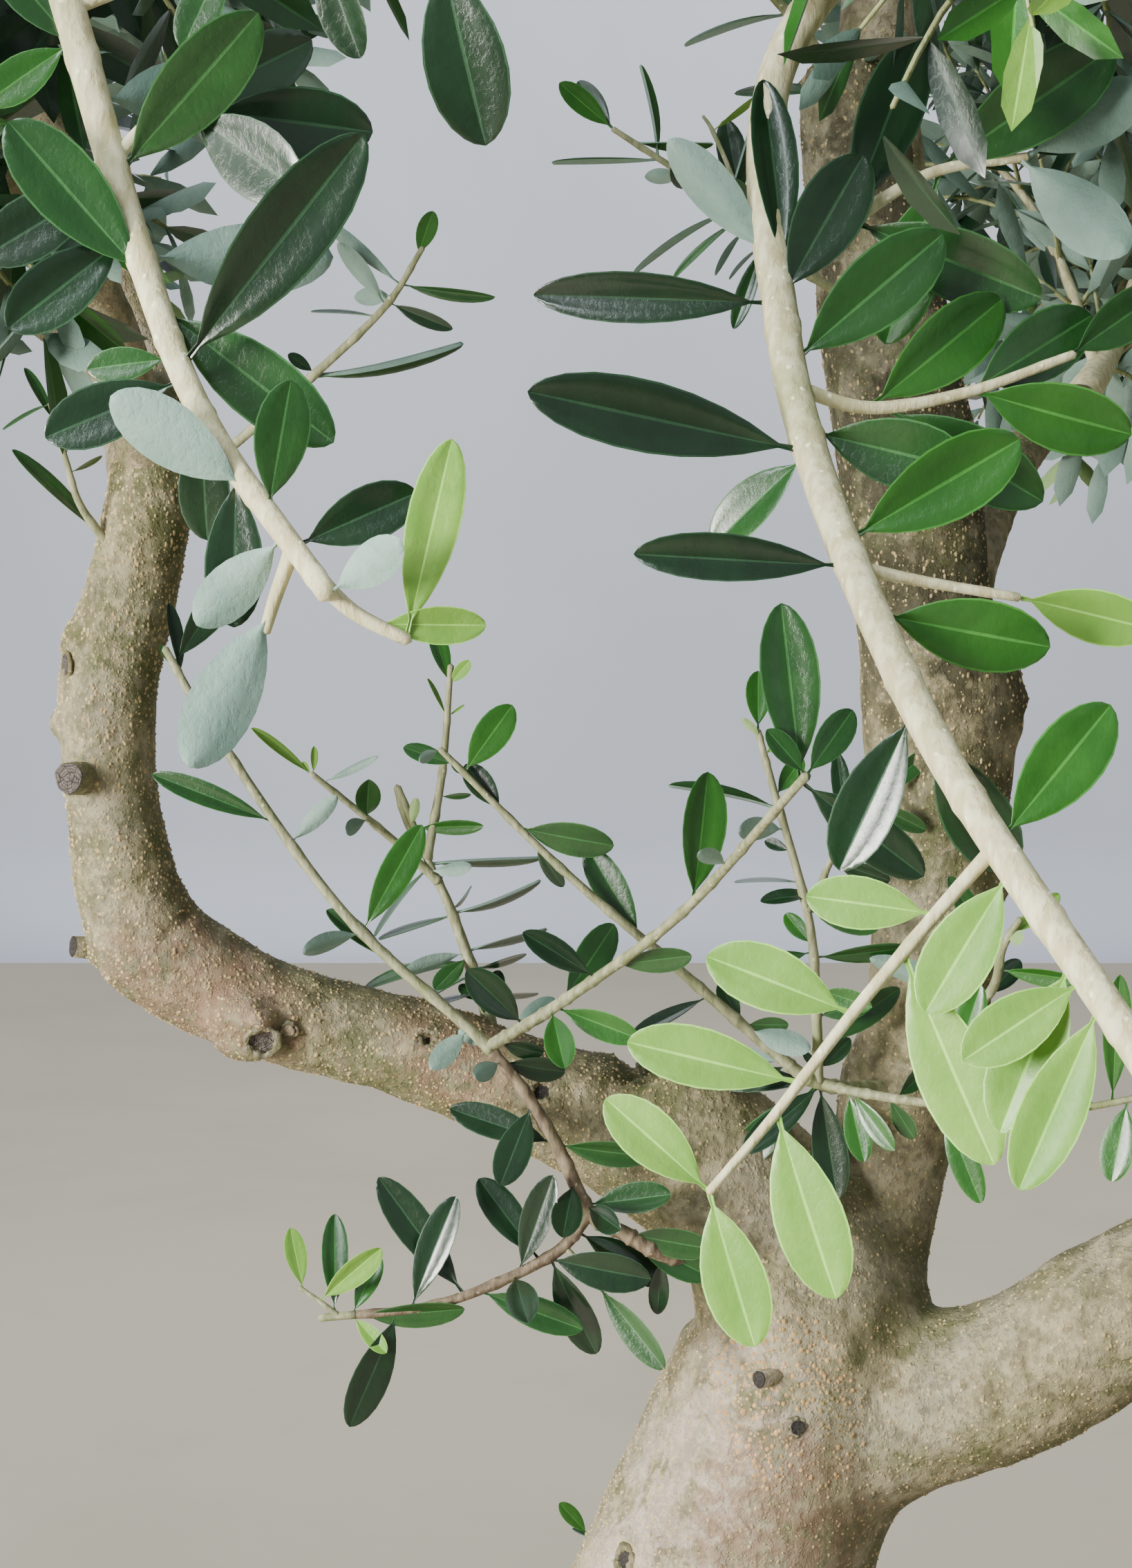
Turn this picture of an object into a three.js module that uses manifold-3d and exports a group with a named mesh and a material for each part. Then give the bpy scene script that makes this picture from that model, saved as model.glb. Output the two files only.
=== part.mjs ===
// A potted olive tree: a stout leaning trunk that forks low into three pruned boughs, with thinner limbs
// rising from them to an open, vase-shaped crown, and a few leafy shoots inside the fork.
// Millimetres, +Z up. The origin is the centre of the pot's flat underside, and -Y faces the viewer.
import * as THREE from "three";
import { mergeVertices } from "three/addons/utils/BufferGeometryUtils.js";
import Module from "manifold-3d";

const wasm = await Module();
wasm.setup();

// Clearance kept between one solid and the next, and how far a face may shift where tiny faces are merged.
const GAP = 0.35;
const SMOOTHING = 0.15;

// Pot and soil
const POT = {
  height: 440, footRadius: 190, rimRadius: 262, rimHeight: 54, rimProud: 12, wall: 24, floor: 26,
  chamfer: 6, sides: 32, drainRadius: 9, drainSides: 12, drainCircle: 80, drains: 3,
};
const SOIL = { belowRim: 35, crumble: 5, clear: 2 * GAP };
const SOIL_TOP = POT.height - SOIL.belowRim;

// Trunk and boughs: each station is [x, y, z, radius], and the axis runs smoothly through them.
const TRUNK_FOOT = SOIL_TOP + GAP;
const TRUNK = [
  [6, 0, SOIL_TOP - 40, 108], [-10, 2, SOIL_TOP + 40, 80], [-34, 5, SOIL_TOP + 155, 67],
  [-40, 5, SOIL_TOP + 255, 63], [-26, 3, SOIL_TOP + 360, 61.5], [7, 0, 857, 60.5], [30, -2, 928, 56],
  [38, -2, 968, 50], [22, -2, 1012, 39], [-4, -2, 1050, 30], [-26, -2, 1079, 23],
];
const TRUNK_SHAPE = {
  sides: 16, steps: 20, lobes: 5, lobeDepth: 0.15, lobeTurn: 0.7, lobeHeight: 95,
  flutes: 3, fluteDepth: 0.035, fluteTwist: 1 / 90,
};

const LEFT_BOUGH = [
  [-8, -2, 1030, 27], [-50, -2, 1055, 25.5], [-122, 2, 1085, 21.5], [-172, 3, 1098, 21],
  [-211, 3, 1113, 22.5], [-239, 2, 1133, 24], [-251, 0, 1160, 21.5], [-257, -3, 1205, 19],
  [-256, -5, 1248, 21], [-248, -4, 1284, 19.5], [-238, -1, 1330, 18.5], [-233, 3, 1368, 17],
];
const UPRIGHT_BOUGH = [
  [62, 16, 950, 20], [76, 24, 1010, 23], [83, 20, 1062, 27.5], [92, 14, 1098, 26.5],
  [95, 5, 1170, 28.5], [94, 2, 1238, 32.5], [86, 0, 1282, 28.5], [80, 0, 1338, 29.5],
  [69, 1, 1396, 27.5], [58, 4, 1474, 24], [55, 6, 1500, 21],
];
const RIGHT_BOUGH = [
  [30, -4, 925, 36], [74, -10, 931, 37], [128, -28, 953, 33.5], [166, -38, 980, 33],
  [212, -50, 1012, 31.5], [262, -54, 1062, 29.5], [304, -46, 1122, 27.5], [334, -28, 1190, 25],
  [350, -10, 1255, 23], [352, 4, 1318, 20.5],
];
const LEFT_BEND = 5;
const RIGHT_BEND = 5;
const BOUGH_SIDES = 11;

// Pruned stubs: the bough that each stands on, the share of its length, the way it points, radius and length.
const STUBS = [
  { on: "left_bough_upper", at: 0.36, toward: [-0.62, -0.78, 0.04], radius: 6.5, length: 12 },
  { on: "left_bough_lower", at: 0.72, toward: [-0.2, -0.95, -0.3], radius: 11, length: 6 },
  { on: "left_bough_lower", at: 0.97, toward: [-0.98, -0.1, 0.12], radius: 6, length: 9 },
  { on: "trunk", at: 0.66, toward: [-0.45, -0.88, 0.1], radius: 5, length: 9 },
  { on: "right_bough_lower", at: 0.58, toward: [0.1, -0.2, 0.97], radius: 7, length: 8 },
];
const STUB_SIDES = 8;
const STUB_FLARE = 1.45;

// Limbs and the masses of foliage that they carry. A limb leaves its bough at the share "at" and ends at
// "tip"; its mass fills an ellipsoid of half sizes "size" round "centre". A weeping twig leaves the stem at
// its own "at".
const CROWN = [
  { name: "left_top", from: "left_bough_upper", at: 0.93, tip: [-292, 18, 1492], radii: [13, 9],
    centre: [-322, 30, 1650], size: [190, 190, 200], seed: 11 },
  { name: "left_outer", from: "left_top", at: 0.45, tip: [-402, -22, 1492], radii: [10, 8],
    centre: [-530, -40, 1530], size: [185, 200, 190], seed: 23 },
  { name: "left_front", from: "left_bough_upper", at: 0.86, tip: [-282, -182, 1452], radii: [11, 8],
    centre: [-312, -330, 1525], size: [185, 200, 190], seed: 37,
    weeping: { at: 0.55, points: [[-222, -420, 1530], [-196, -450, 1457], [-176, -470, 1394],
      [-156, -495, 1348], [-122, -528, 1304]] } },
  { name: "left_back", from: "left_bough_upper", at: 0.8, tip: [-350, 175, 1418], radii: [11, 8],
    centre: [-440, 300, 1525], size: [190, 190, 190], seed: 41 },
  { name: "crown_top", from: "upright_bough", at: 0.86, tip: [100, 18, 1748], radii: [17, 11],
    centre: [85, 10, 1905], size: [220, 220, 195], seed: 53 },
  { name: "crown_left", from: "crown_top", at: 0.5, tip: [-30, 52, 1660], radii: [12, 8],
    centre: [-150, 70, 1790], size: [190, 200, 185], seed: 61 },
  { name: "crown_front", from: "crown_top", at: 0.42, tip: [112, -160, 1585], radii: [12, 8],
    centre: [170, -335, 1570], size: [180, 200, 195], seed: 79,
    weeping: { at: 0.4, points: [[12, -285, 1478], [3, -330, 1375], [31, -430, 1273],
      [81, -500, 1188], [112, -528, 1138]] } },
  { name: "crown_back", from: "crown_top", at: 0.66, tip: [110, 165, 1735], radii: [12, 8],
    centre: [110, 320, 1830], size: [215, 200, 190], seed: 83 },
  { name: "back", from: "upright_bough", at: 0.5, tip: [185, 190, 1370], radii: [13, 8.5],
    centre: [245, 345, 1500], size: [180, 180, 190], seed: 97 },
  { name: "right_top", from: "right_bough_upper", at: 0.93, tip: [330, 30, 1492], radii: [13, 9],
    centre: [345, 40, 1660], size: [185, 200, 195], seed: 101 },
  { name: "right_outer", from: "right_bough_upper", at: 0.66, tip: [470, -20, 1352], radii: [12, 8.5],
    centre: [590, -30, 1440], size: [185, 210, 200], seed: 113 },
  { name: "right_front", from: "right_bough_lower", at: 0.93, tip: [330, -225, 1225], radii: [13, 8.5],
    centre: [400, -375, 1340], size: [200, 200, 205], seed: 127 },
  { name: "right_back", from: "right_bough_upper", at: 0.34, tip: [400, 170, 1300], radii: [12, 8],
    centre: [480, 310, 1400], size: [185, 190, 200], seed: 139 },
];
const LIMB = { sides: 7, steps: 4, rise: 0.16 };
// A stem bends on from its limb and ends past the middle of its mass. Twigs part from it some way behind
// their ends, reach a share of the way out to the ellipsoid, and arch. A leaf's root is sunk in its twig.
const STEM = { sides: 6, steps: 4, bend: 0.4, past: 0.42 };
const TWIG = {
  count: 7, sides: 3, steps: 2, reach: 0.58, spread: 0.2, behind: 0.3, first: 0.08, last: 0.9,
  radius: 3.4, tip: 2, arch: 0.12, follow: 0.2, room: 14,
};
const FOLIAGE = {
  pairs: [0.4, 0.82], leafLength: 146, leafWidth: 46, leafThick: 2.8, splay: 0.85, sunk: 2.5, room: 6,
};
const SPACE = { edge: 1.35, lead: 0.1 };
const WEEPING = {
  sides: 3, steps: 7, radius: 5.2, tip: 2.6, apart: 1.2,
  pairs: [0.35, 0.5, 0.65, 0.82], leafLength: 80, leafWidth: 24, leafThick: 2, splay: 0.85, sunk: 2.5,
};
const LEAF_WIDEST = 0.45;

// Leafy shoots inside the fork: a main stem and side stems, each through a few points [x, y, z].
const SHOOTS = [
  { name: "front_shoot", on: "trunk", radii: [3.6, 1.8], stems: [
    [[4, -28, 1000], [-22, -56, 1012], [-40, -58, 1022], [-54, -56, 1030], [-71, -54, 1064], [-96, -54, 1099],
      [-155, -50, 1154], [-208, -44, 1228], [-228, -42, 1262]],
    [[-54, -56, 1030], [-71, -58, 1012], [-116, -64, 994], [-165, -64, 988]],
    [[-96, -54, 1099], [-64, -65, 1121], [-19, -110, 1163], [20, -220, 1228]]] },
  { name: "left_bough_shoot", on: "left_bough_lower", radii: [3.2, 1.6], stems: [
    [[-90, 6, 1075], [-102, 14, 1112], [-114, 16, 1146], [-124, 16, 1168], [-136, 14, 1199]],
    [[-124, 16, 1168], [-117, 12, 1207], [-113, 6, 1252]],
    [[-119, 16, 1158], [-142, 10, 1180], [-172, -4, 1207]]] },
  { name: "fork_shoot", on: "upright_bough", radii: [3.4, 1.7], stems: [
    [[78, 2, 1070], [43, -26, 1078], [21, -28, 1094], [-16, -34, 1127], [-65, -38, 1170], [-116, -34, 1220]],
    [[43, -26, 1078], [60, -36, 1076], [90, -54, 1075], [130, -66, 1074], [188, -76, 1087]],
    [[42, -27, 1079], [41, -30, 1105], [37, -34, 1149], [21, -38, 1206], [15, -38, 1228]]] },
  { name: "right_shoot", on: "upright_bough", radii: [2.6, 1.6], stems: [
    [[94, -10, 1100], [112, -36, 1118], [116, -46, 1139], [122, -52, 1152]]] },
  { name: "upper_shoot", on: "upright_bough", radii: [2.6, 1.5], stems: [
    [[66, -6, 1400], [43, -14, 1411], [16, -24, 1427], [-10, -32, 1449], [-45, -40, 1471]]] },
  { name: "stub_shoot", on: "upright_bough", radii: [3.2, 1.8], stems: [
    [[56, 2, 1478], [36, -10, 1511], [20, -18, 1527], [-14, -32, 1562]]] },
  { name: "left_inner_shoot", on: "left_bough_upper", radii: [2.8, 1.6], stems: [
    [[-238, -4, 1322], [-213, -18, 1336], [-171, -30, 1370], [-138, -36, 1400], [-122, -38, 1424]]] },
  { name: "left_side_shoot", on: "left_bough_upper", radii: [2.2, 1.4], stems: [
    [[-246, -8, 1292], [-264, -20, 1318], [-270, -24, 1338], [-276, -26, 1362]]] },
];
const SHOOT = {
  sides: 3, leafEvery: 96, leafLength: 58, leafWidth: 20, leafThick: 1.4, splay: 0.95, sunk: 2,
  bare: 47, last: 0.97, room: 3,
};

const COLOURS = {
  pot: [0x9a6244, 0.9], soil: [0x3d3128, 1], trunk: [0x8b7d66, 0.85], bough: [0x85795f, 0.85],
  limb: [0x837a62, 0.8], foliage: [0x3c5a3a, 0.55], shoot: [0x4f7146, 0.5],
};

// A seeded random number from 0 to 1: the same sequence for the same seed.
function seeded(seed) {
  let state = seed >>> 0;
  return () => {
    state = (Math.imul(state, 1664525) + 1013904223) >>> 0;
    return state / 4294967296;
  };
}

// The point at share t of a smooth line through rows of numbers, by the uniform Catmull-Rom rule.
function along(rows, t) {
  const spans = rows.length - 1;
  const i = Math.min(Math.floor(t * spans), spans - 1);
  const w = t * spans - i;
  return rows[i].map((value, k) => {
    const next = rows[i + 1][k];
    const before = i > 0 ? rows[i - 1][k] : 2 * value - next;
    const after = i + 2 <= spans ? rows[i + 2][k] : 2 * next - value;
    const rise = (next - before) / 2;
    const fall = (after - value) / 2;
    const bow = 3 * (next - value) - 2 * rise - fall;
    const twist = 2 * (value - next) + rise + fall;
    return value + rise * w + bow * w ** 2 + twist * w ** 3;
  });
}

const pointOf = (row) => new THREE.Vector3(row[0], row[1], row[2]);

// The direction of a smooth line at share t.
function heading(rows, t) {
  const step = 0.005;
  const ahead = pointOf(along(rows, Math.min(1, t + step)));
  return ahead.sub(pointOf(along(rows, Math.max(0, t - step)))).normalize();
}

// A geometry's closed surface as a solid.
function solidOf(geometry) {
  const bare = geometry.clone();
  bare.deleteAttribute("normal");
  bare.deleteAttribute("uv");
  const merged = mergeVertices(bare, 1e-4);
  const vertProperties = merged.attributes.position.array;
  const triVerts = new Uint32Array(merged.index.array);
  return new wasm.Manifold(new wasm.Mesh({ numProp: 3, vertProperties, triVerts }));
}

// Unit frames along a line, each turned as little as possible from the one before.
function framesOf(rows, shares) {
  const frames = [];
  let side = null;
  for (const t of shares) {
    const forward = heading(rows, t);
    const first = new THREE.Vector3(Math.abs(forward.y) < 0.9 ? 0 : 1, Math.abs(forward.y) < 0.9 ? 1 : 0, 0);
    const seed = side ?? first;
    side = seed.clone().addScaledVector(forward, -seed.dot(forward)).normalize();
    frames.push({ centre: along(rows, t), forward, side, across: forward.clone().cross(side) });
  }
  return frames;
}

// A limb as a closed cylinder bent along its line, from one share of the line to another.
// swell is added to the radius, shape gives a factor for each angle and height.
function limbSolid(rows, { sides, steps, from = 0, to = 1, swell = 0, shape = () => 1 }) {
  const shares = Array.from({ length: steps + 1 }, (_, i) => from + ((to - from) * i) / steps);
  const frames = framesOf(rows, shares);
  shiftAlong(frames[0], -swell);
  shiftAlong(frames[steps], swell);
  const geometry = new THREE.CylinderGeometry(1, 1, 1, sides, steps);
  const position = geometry.attributes.position;
  for (let i = 0; i < position.count; i++) {
    const { centre, side, across } = frames[Math.round((position.getY(i) + 0.5) * steps)];
    const reach = Math.hypot(position.getX(i), position.getZ(i));
    const angle = Math.atan2(position.getX(i), position.getZ(i));
    const radius = reach * (centre[3] * shape(angle, centre[2]) + swell);
    const point = pointOf(centre)
      .addScaledVector(side, radius * Math.cos(angle))
      .addScaledVector(across, radius * Math.sin(angle));
    position.setXYZ(i, point.x, point.y, point.z);
  }
  return solidOf(geometry);
}

// Moves a frame's centre along its own line.
function shiftAlong({ centre, forward }, distance) {
  centre[0] += forward.x * distance;
  centre[1] += forward.y * distance;
  centre[2] += forward.z * distance;
}

// The largest body of a fused solid: loose scraps are dropped, and a sealed hollow is filled.
function largest(solid) {
  const bodies = solid.asOriginal().simplify(SMOOTHING).decompose();
  return bodies.reduce((best, body) => (body.volume() > best.volume() ? body : best));
}

// The trunk's section: buttress lobes at the foot that fade upwards, and shallow flutes above.
function trunkShape(angle, z) {
  const fade = Math.min(1, Math.exp(-(z - TRUNK_FOOT) / TRUNK_SHAPE.lobeHeight));
  const lobes = TRUNK_SHAPE.lobeDepth * Math.cos(TRUNK_SHAPE.lobes * angle + TRUNK_SHAPE.lobeTurn);
  const flutes = TRUNK_SHAPE.fluteDepth * Math.cos(TRUNK_SHAPE.flutes * angle + TRUNK_SHAPE.fluteTwist * z);
  return 1 + lobes * fade + flutes * (1 - fade);
}

// Every woody limb by name: its line, the part of the line that is its own, and how its solid is made.
const woods = new Map();

function addWood(name, kind, rows, options) {
  woods.set(name, { kind, rows, from: 0, to: 1, ...options });
}

// A bough that bends is two limbs that meet at one station.
function addSplitBough(name, rows, bend, lowerSteps, upperSteps) {
  const share = bend / (rows.length - 1);
  addWood(`${name}_lower`, "bough", rows, { sides: BOUGH_SIDES, steps: lowerSteps, to: share });
  addWood(`${name}_upper`, "bough", rows, { sides: BOUGH_SIDES, steps: upperSteps, from: share });
}

// The point of a limb at a share of its own length, and the way it runs there.
function woodAt(name, share) {
  const { rows, from, to } = woods.get(name);
  return along(rows, from + (to - from) * share);
}

function woodHeading(name, share) {
  const { rows, from, to } = woods.get(name);
  return heading(rows, from + (to - from) * share);
}

addWood("trunk", "trunk", TRUNK, { sides: TRUNK_SHAPE.sides, steps: TRUNK_SHAPE.steps, shape: trunkShape });
addSplitBough("left_bough", LEFT_BOUGH, LEFT_BEND, 7, 8);
addSplitBough("right_bough", RIGHT_BOUGH, RIGHT_BEND, 6, 6);
addWood("upright_bough", "bough", UPRIGHT_BOUGH, { sides: BOUGH_SIDES, steps: 13 });

// A limb from a point on its bough to its tip, rising at first as the bough does.
function limbRows({ from, at, tip, radii }) {
  const start = pointOf(woodAt(from, at));
  const end = new THREE.Vector3(...tip);
  const length = start.distanceTo(end);
  const rise = woodHeading(from, at).multiplyScalar(length * LIMB.rise);
  return [0, 0.33, 0.67, 1].map((t) => {
    const point = start.clone().lerp(end, t).addScaledVector(rise, 4 * t * (1 - t) * (1 - t / 2));
    return [point.x, point.y, point.z, radii[0] + (radii[1] - radii[0]) * t];
  });
}

for (const mass of CROWN) addWood(mass.name, "limb", limbRows(mass), LIMB);

// The line of a mass's stem: on from its limb's tip, through the middle and out to the far side.
function stemRows(mass) {
  const forward = woodHeading(mass.name, 1);
  const tip = pointOf(woodAt(mass.name, 1));
  const centre = new THREE.Vector3(...mass.centre);
  const far = centre.clone().lerp(tip, -STEM.past);
  const bend = tip.clone().addScaledVector(forward, STEM.bend * tip.distanceTo(centre));
  return curveRows([tip, bend, far], STEM.steps, mass.radii[1], TWIG.radius);
}

// Stations along the quadratic curve of three points, tapering from one radius to another.
function curveRows([start, bend, end], steps, rootRadius, tipRadius) {
  return new THREE.QuadraticBezierCurve3(start, bend, end).getPoints(steps)
    .map((point, i) => [point.x, point.y, point.z, rootRadius + ((tipRadius - rootRadius) * i) / steps]);
}

// The twigs of a mass: their far ends are spread evenly over its space by the golden angle, and each leaves
// the stem some way below its end and arches over to it.
function twigRows(mass, stem) {
  const random = seeded(mass.seed);
  const golden = Math.PI * (3 - Math.sqrt(5));
  const chord = new THREE.Line3(pointOf(stem[0]), pointOf(stem[STEM.steps]));
  return Array.from({ length: TWIG.count }, (_, i) => {
    const height = 1 - (2 * (i + 0.5)) / TWIG.count;
    const ring = Math.sqrt(1 - height * height);
    const turn = i * golden + mass.seed;
    const share = TWIG.reach + TWIG.spread * random();
    const end = new THREE.Vector3(ring * Math.cos(turn), ring * Math.sin(turn), height)
      .multiply(new THREE.Vector3(...mass.size))
      .multiplyScalar(share)
      .add(new THREE.Vector3(...mass.centre));
    const behind = chord.closestPointToPointParameter(end, false) - TWIG.behind;
    const t = THREE.MathUtils.clamp(behind, TWIG.first, TWIG.last);
    return archRows(pointOf(along(stem, t)), end, heading(stem, t));
  });
}

// A twig from start to end that sets off with the stem and arches over.
function archRows(start, end, forward) {
  const length = start.distanceTo(end);
  const bend = start.clone().lerp(end, 0.5).addScaledVector(forward, TWIG.follow * length);
  bend.z += TWIG.arch * length;
  return curveRows([start, bend, end], 3, TWIG.radius, TWIG.tip);
}

// How far a point lies from the middle of a mass: 1 on the ellipsoid's surface.
function depthIn(mass, point) {
  return point.toArray().reduce((sum, value, k) => sum + ((value - mass.centre[k]) / mass.size[k]) ** 2, 0);
}

// True where a point belongs to a mass: inside its reach, and nearer to it than to any other mass.
function inSpace(mass, point) {
  const own = depthIn(mass, point);
  return own < SPACE.edge && outsideOthers(mass, point, own + SPACE.lead);
}

// True where a point lies deeper than the given depth in no mass but this one.
function outsideOthers(mass, point, depth) {
  return CROWN.every((other) => other === mass || depthIn(other, point) > depth);
}

// Short straight pieces of all wood, for clearance tests.
const obstacles = [];

function addObstacle(owner, at) {
  const count = 10;
  for (let i = 0; i < count; i++) {
    const a = at(i / count);
    const b = at((i + 1) / count);
    obstacles.push({ owner, line: new THREE.Line3(pointOf(a), pointOf(b)), radius: Math.max(a[3], b[3]) });
  }
}

// True where a point stays clear of every limb but its owner's.
function clearOfWood(point, owner, room) {
  const nearest = new THREE.Vector3();
  return obstacles.every(({ owner: whose, line, radius }) => {
    if (whose === owner) return true;
    line.closestPointToPoint(point, true, nearest);
    return nearest.distanceTo(point) > radius + room;
  });
}

// A leaf: a thin blade with a deep root edge, widest before its middle, drawn to a point.
function leafSolid(root, forward, broad, { leafLength, leafWidth, leafThick }, scale) {
  const up = forward.clone().cross(broad).normalize();
  const at = (share, wide, high) => root.clone()
    .addScaledVector(forward, share * leafLength * scale)
    .addScaledVector(broad, wide * leafWidth * scale)
    .addScaledVector(up, high * leafThick);
  const blade = [at(LEAF_WIDEST, 0.5, 0), at(LEAF_WIDEST, -0.5, 0), at(1, 0, 0)];
  const points = [at(0, 0, 0.5), at(0, 0, -0.5), ...blade];
  const geometry = new THREE.BufferGeometry().setFromPoints(points);
  geometry.setIndex([0, 4, 2, 0, 3, 4, 1, 2, 4, 1, 4, 3, 0, 2, 1, 0, 1, 3]);
  return { solid: solidOf(geometry), probes: [...blade, at(LEAF_WIDEST, 0, 0), at(0.75, 0, 0)] };
}

// Opposite pairs of leaves at the given shares of a twig, each pair turned a quarter from the last, and one
// leaf at its tip. Those that reach where they aren't allowed are left off.
function leavesOn(rows, shares, sizes, random, allowed) {
  const leaves = [];
  const frames = framesOf(rows, [...shares, 1]);
  const tip = frames.pop();
  const reach = Math.cos(sizes.splay);
  const spread = Math.sin(sizes.splay);
  let turn = random() * Math.PI;
  const grow = (centre, way, broad, scale) =>
    leaves.push(leafSolid(pointOf(centre).addScaledVector(way, -sizes.sunk), way, broad, sizes, scale));
  for (const { centre, forward, side, across } of frames) {
    const out = side.clone().multiplyScalar(Math.cos(turn)).addScaledVector(across, Math.sin(turn));
    const broad = forward.clone().cross(out).normalize();
    for (const sign of [1, -1]) {
      const way = forward.clone().multiplyScalar(reach).addScaledVector(out, sign * spread);
      grow(centre, way, broad, 0.85 + 0.25 * random());
    }
    turn += Math.PI / 2 + 0.3 * (random() - 0.5);
  }
  grow(tip.centre, tip.forward, tip.side, 0.9);
  return leaves.filter(({ probes }) => probes.every(allowed)).map(({ solid }) => solid);
}

// One mass of foliage as a fused solid: its stem, its twigs and their leaves.
function foliageSolid(mass) {
  const stem = stemRows(mass);
  const random = seeded(mass.seed * 7919);
  const parts = [limbSolid(stem, STEM)];
  const spaced = (point, room) => inSpace(mass, point) && clearOfWood(point, mass.name, room);
  const fits = (rows) => [0.35, 0.7, 1].every((t) => spaced(pointOf(along(rows, t)), TWIG.room));
  for (const rows of twigRows(mass, stem).filter(fits)) {
    const leafFits = (point) => spaced(point, FOLIAGE.room);
    parts.push(limbSolid(rows, TWIG), ...leavesOn(rows, FOLIAGE.pairs, FOLIAGE, random, leafFits));
  }
  if (mass.weeping) {
    const rows = weepingRows(mass, stem);
    const leafFits = (point) =>
      clearOfWood(point, mass.name, FOLIAGE.room) && outsideOthers(mass, point, WEEPING.apart);
    parts.push(limbSolid(rows, WEEPING), ...leavesOn(rows, WEEPING.pairs, WEEPING, random, leafFits));
  }
  return wasm.Manifold.union(parts);
}

// The long twig that hangs from a mass towards the viewer.
function weepingRows({ weeping }, stem) {
  const points = [along(stem, weeping.at).slice(0, 3), ...weeping.points];
  const fall = (WEEPING.tip - WEEPING.radius) / (points.length - 1);
  return points.map((point, i) => [...point, WEEPING.radius + fall * i]);
}

// One leafy shoot as a fused solid, with no leaf that would touch an earlier shoot.
function shootSolid(shoot, earlier) {
  const random = seeded(shoot.name.length * 31);
  const leafFits = (point) =>
    clearOfWood(point, shoot.name, SHOOT.room) && outsideOthers(null, point, SPACE.edge);
  const parts = shoot.stems.flatMap((points, k) => {
    const rows = shootRows(shoot, k);
    const length = pointOf(rows[0]).distanceTo(pointOf(rows[rows.length - 1]));
    const pairs = Math.max(0, Math.ceil((SHOOT.last * length - SHOOT.bare) / SHOOT.leafEvery));
    const shares = Array.from({ length: pairs }, (_, i) => (SHOOT.bare + i * SHOOT.leafEvery) / length);
    const stem = limbSolid(rows, { sides: SHOOT.sides, steps: Math.max(3, points.length - 1) });
    const leaves = leavesOn(rows, shares, SHOOT, random, leafFits);
    return [stem, ...leaves.filter((leaf) => earlier.every((other) => other.intersect(leaf).isEmpty()))];
  });
  return wasm.Manifold.union(parts);
}

// A shoot's stem with radii that taper along it; a side stem starts thinner than the main one.
function shootRows({ radii, stems }, k) {
  const start = k === 0 ? radii[0] : (radii[0] + radii[1]) / 2;
  const last = stems[k].length - 1;
  return stems[k].map((row, i) => [...row, start + ((radii[1] - start) * i) / last]);
}

// A pruned stub on a bough, as a short cylinder that stands out of it.
function stubSolid({ on, at, toward, radius, length }, swell) {
  const centre = woodAt(on, at);
  const way = new THREE.Vector3(...toward).normalize();
  const reach = centre[3] + length + swell;
  const geometry = new THREE.CylinderGeometry(radius + swell, radius * STUB_FLARE + swell, reach, STUB_SIDES);
  geometry.translate(0, reach / 2, 0);
  geometry.applyQuaternion(new THREE.Quaternion().setFromUnitVectors(new THREE.Vector3(0, 1, 0), way));
  geometry.translate(centre[0], centre[1], centre[2]);
  return solidOf(geometry);
}

// A limb's solid, with its stubs, swollen by the clearance where it is used to cut a neighbour.
function woodSolid(name, swell = 0) {
  const wood = woods.get(name);
  const limb = limbSolid(wood.rows, { ...wood, swell });
  const stubs = STUBS.filter(({ on }) => on === name).map((stub) => stubSolid(stub, swell));
  return stubs.length ? wasm.Manifold.union([limb, ...stubs]) : limb;
}

// A block that takes away whatever reaches down past the trunk's flat foot.
function groundSolid() {
  const size = 4 * POT.rimRadius;
  const geometry = new THREE.BoxGeometry(size, size, size);
  geometry.translate(0, 0, TRUNK_FOOT - size / 2);
  return solidOf(geometry);
}

// The pot's outline from the middle of its underside, round the rim and down inside to its floor.
function potProfile() {
  const { height, footRadius, rimRadius, rimHeight, rimProud, wall, floor, chamfer } = POT;
  const neck = rimRadius - rimProud;
  return [
    [0, 0], [footRadius - chamfer, 0], [footRadius, chamfer], [neck, height - rimHeight],
    [rimRadius, height - rimHeight + chamfer], [rimRadius, height - chamfer], [rimRadius - chamfer, height],
    [neck - wall + chamfer, height], [neck - wall, height - chamfer], [footRadius - wall, floor], [0, floor],
  ];
}

// A round solid about the pot's axis.
function turned(profile) {
  const geometry = new THREE.LatheGeometry(profile.map(([x, y]) => new THREE.Vector2(x, y)), POT.sides);
  geometry.rotateX(Math.PI / 2);
  return solidOf(geometry);
}

function potSolid() {
  const { drains, drainRadius, drainCircle, drainSides, floor } = POT;
  const holes = Array.from({ length: drains }, (_, i) => {
    const angle = (2 * Math.PI * i) / drains;
    const geometry = new THREE.CylinderGeometry(drainRadius, drainRadius, 3 * floor, drainSides);
    geometry.rotateX(Math.PI / 2);
    geometry.translate(drainCircle * Math.cos(angle), drainCircle * Math.sin(angle), 0);
    return solidOf(geometry);
  });
  return turned(potProfile()).subtract(wasm.Manifold.union(holes));
}

// Soil that fills the pot to a little below its rim, with a crumbled edge.
function soilSolid() {
  const { footRadius, rimRadius, rimProud, wall, floor, height, chamfer } = POT;
  const foot = footRadius - wall;
  const slope = (rimRadius - rimProud - wall - foot) / (height - chamfer - floor);
  const inner = (z) => foot + slope * (z - floor) - SOIL.clear;
  const edge = SOIL_TOP - SOIL.crumble;
  return turned([
    [0, floor + GAP], [inner(floor), floor + GAP], [inner(edge), edge],
    [inner(SOIL_TOP) - SOIL.crumble, SOIL_TOP], [0, SOIL_TOP],
  ]);
}

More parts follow.
